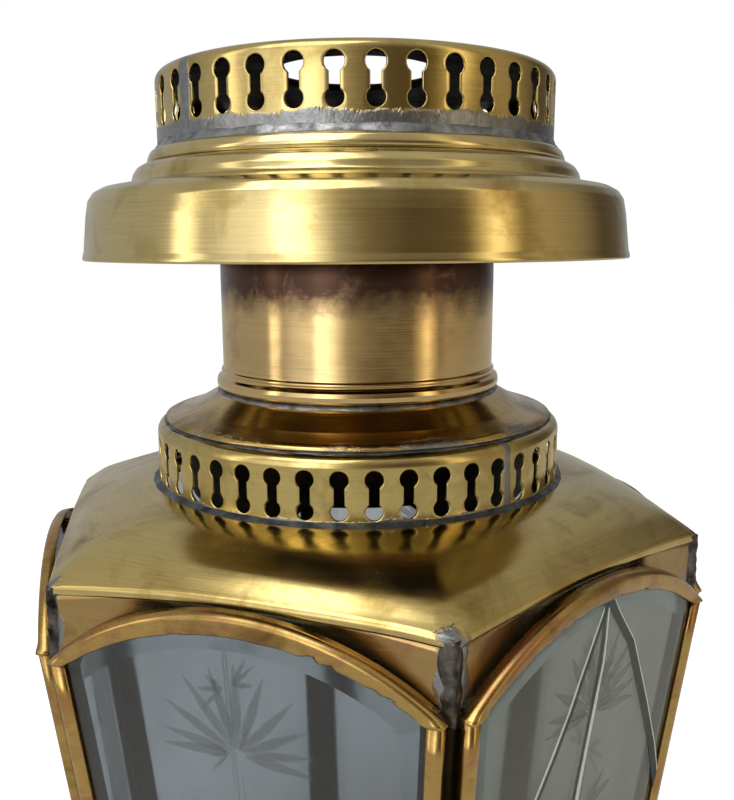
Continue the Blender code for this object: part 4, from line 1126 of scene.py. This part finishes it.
# %% Corner solder
CORNER_APOTHEM = 108.2 * MM
for corner in range(6):
    before = corner * math.pi / 3
    after = before + math.pi / 3
    middle = before + math.pi / 6
    out = outward(middle)
    reach = CORNER_APOTHEM / math.cos(math.pi / 6)
    rows = []
    for level in range(33):
        z = EAVE_Z - 1.0 * MM + (SPRING_Z - 2.0 * MM - EAVE_Z) * level / 32
        row = []
        for i in range(15):
            across = -1 + i / 7
            spread = 5.2 * MM if across < 0 else 3.6 * MM
            spread *= 1 + 0.45 * smooth_noise((corner * 7 + (across > 0) * 3, z * 160, 0), 1)
            lumps = 0.7 * smooth_noise((corner, z * 330, across * 1.5), 1)
            swell = (1.25 + lumps) * (1 - across * across)
            spot = out * (reach + (swell - 0.45) * MM) + Vector((0, 0, z))
            spot += sideways(after if across > 0 else before) * across * spread
            row.append(spot)
        rows.append(row)
    bm = skin(rows, closed=False)
    face_towards(bm, flat_out)
    finish_piece(f"corner_solder_{corner + 1}", bm, burnt_solder, sharp=70,
                 wall=0.5 * MM)

# %% [markdown]
# ## Pieces carried over
# The posts, the foot, the tray and the small hardware already have their real shapes, so they
# stay as they are and only get their finishes.

# %% Finishes for the carried-over pieces
foot_brass = aged_brass("foot_brass", "#b99a55", "#7d6534", "#9a7050", 0.6, 0.4, roughness=0.3)
steel = tin_lead_solder("zinced_steel", "#b9babb", "#7d7f80", 0.3)

# old paraffin wax: pale, soft to light, with a slightly greasy bloom
wax, shader, spot = start_material("paraffin_wax", Roughness=0.42, Subsurface_Weight=0.35,
                                   Subsurface_Scale=0.004)
cloud = add_node(wax, "TexNoise", Vector=spot, Scale=90, Detail=5, Roughness=0.6)
colour = add_node(wax, "ValToRGB", Fac=cloud,
    stops=[(0.3, srgb("#d9cda9")), (0.7, srgb("#efe6cd"))])
bump = add_node(wax, "Bump", Height=cloud, Distance=0.3 * MM)
set_inputs(shader, Base_Color=colour, Normal=bump)

# a burnt braided wick: black at the tip, with a fine twist of about 0.8 mm
cotton, shader, spot = start_material("charred_cotton", Roughness=0.95)
twist = add_node(cotton, "TexWave", Vector=spot, Scale=400, Distortion=2,
    bands_direction="DIAGONAL")
colour = add_node(cotton, "ValToRGB", Fac=twist.outputs["Fac"],
    stops=[(0.2, srgb("#17130f")), (0.9, srgb("#3b322a"))])
set_inputs(shader, Base_Color=colour)

# the corner posts take the shadow brass, painted shade
FINISHES = {"base": foot_brass, "drip": foot_brass, "candle_cup": foot_brass, "holder": steel,
            "corner_post": shadow_brass, "hinge_pin": steel, "hinge": frame_brass,
            "turn": frame_brass, "button": frame_brass, "door_knob": frame_brass, "candle": wax,
            "wick": cotton}
for name, node in frame["nodes"].items():
    for start, finish in FINISHES.items():
        if name.startswith(start):
            node.data.materials.clear()
            node.data.materials.append(finish)
            break
print("nodes that still show:", [n for n, o in frame["nodes"].items() if not o.hide_render])

# %% [markdown]
# ## Studio
# Polished metal shows the room more than itself, so the room is painted with care: a wide window
# to the left of the camera, a narrow warm strip to the right, dimness between and beyond them.
# The room is one ring of brightness by direction; the camera itself sees plain white.

# %% Room
world = bpy.data.worlds.new("studio")
bpy.context.scene.world = world
world.use_nodes = True
world.node_tree.nodes.clear()

# brightness and colour by direction, in degrees round from the camera towards its right
ROOM = [
    (-180, (0.42, 0.44, 0.48)), (-150, (0.46, 0.47, 0.49)), (-112, (0.50, 0.50, 0.50)),
    (-77, (0.55, 0.53, 0.50)), (-73, (3.2, 3.0, 2.7)), (-68, (2.6, 2.4, 2.1)),
    (-63, (0.62, 0.60, 0.57)), (-52, (1.3, 1.25, 1.22)), (-36, (1.7, 1.66, 1.62)),
    (-32, (3.6, 3.6, 3.5)), (-22, (3.0, 3.0, 2.8)), (-15, (1.5, 1.45, 1.3)),
    (-8, (0.55, 0.50, 0.42)), (4, (0.26, 0.21, 0.15)), (20, (0.12, 0.09, 0.06)),
    (44, (0.16, 0.12, 0.07)), (51, (0.9, 0.72, 0.38)), (58, (2.4, 2.0, 1.4)),
    (63, (1.2, 0.95, 0.5)), (69, (0.22, 0.16, 0.08)), (78, (0.55, 0.44, 0.30)),
    (100, (0.34, 0.28, 0.20)), (118, (0.10, 0.08, 0.06)), (135, (0.14, 0.12, 0.10)),
    (150, (0.34, 0.35, 0.37)), (180, (0.42, 0.44, 0.48)),
]
direction = add_node(world, "TexCoord").outputs["Generated"]
turned = add_node(world, "Mapping", Vector=direction, Rotation=(0, 0, -VIEW_TURN))
axes = add_node(world, "SeparateXYZ", Vector=turned)
forward = add_node(world, "Math", axes.outputs["Y"], -1.0, operation="MULTIPLY")
angle = add_node(world, "Math", axes.outputs["X"], forward, operation="ARCTAN2")
bearing = add_node(world, "MapRange", Value=angle, From_Min=-math.pi, From_Max=math.pi)
walls = add_node(world, "ValToRGB", Fac=bearing,
    stops=[ ((degrees + 180) / 360, colour + (1,)) for degrees, colour in ROOM])
height = add_node(world, "MapRange", Value=axes.outputs["Z"], From_Min=0.35, From_Max=0.95)
room = add_node(world, "Mix", Factor=height, A=walls, B=(0.56, 0.54, 0.49, 1), data_type="RGBA")
shown = add_node(world, "LightPath")
seen = add_node(world, "Mix", Factor=shown, A=room, B=(1, 1, 1, 1), data_type="RGBA")
glow = add_node(world, "Background", Color=seen)
add_node(world, "OutputWorld", Surface=glow)

# %% Soft box and floor
soft_box = bpy.data.lights.new("overhead", "AREA")
soft_box.shape = "RECTANGLE"
soft_box.size = soft_box.size_y = 1.0
soft_box.energy = 9
light = bpy.data.objects.new("overhead", soft_box)
bpy.context.scene.collection.objects.link(light)
angle = VIEW_TURN - math.radians(35)
light.location = (0.8 * math.sin(angle), -0.8 * math.cos(angle), 1.7)
light.rotation_euler = (Vector((0, 0, 0.30)) - light.location).to_track_quat("-Z", "Y").to_euler()

floor_bm = bmesh.new()
bmesh.ops.create_circle(floor_bm, cap_ends=True, segments=96, radius=6)
floor_mesh = bpy.data.meshes.new("floor")
floor_bm.to_mesh(floor_mesh)
floor_bm.free()
floor = bpy.data.objects.new("floor", floor_mesh)
bpy.context.scene.collection.objects.link(floor)
paper, paper_shader, _ = start_material("white_paper", Roughness=0.9)
glow = add_node(paper, "Math", add_node(paper, "LightPath"), 0.62, operation="MULTIPLY")
set_inputs(paper_shader, Base_Color=(0.75, 0.75, 0.75, 1), Emission_Color=(1, 1, 1, 1),
    Emission_Strength=glow)
floor_mesh.materials.append(paper)
bpy.context.scene.view_settings.view_transform = "Standard"
print("room directions:", len(ROOM))
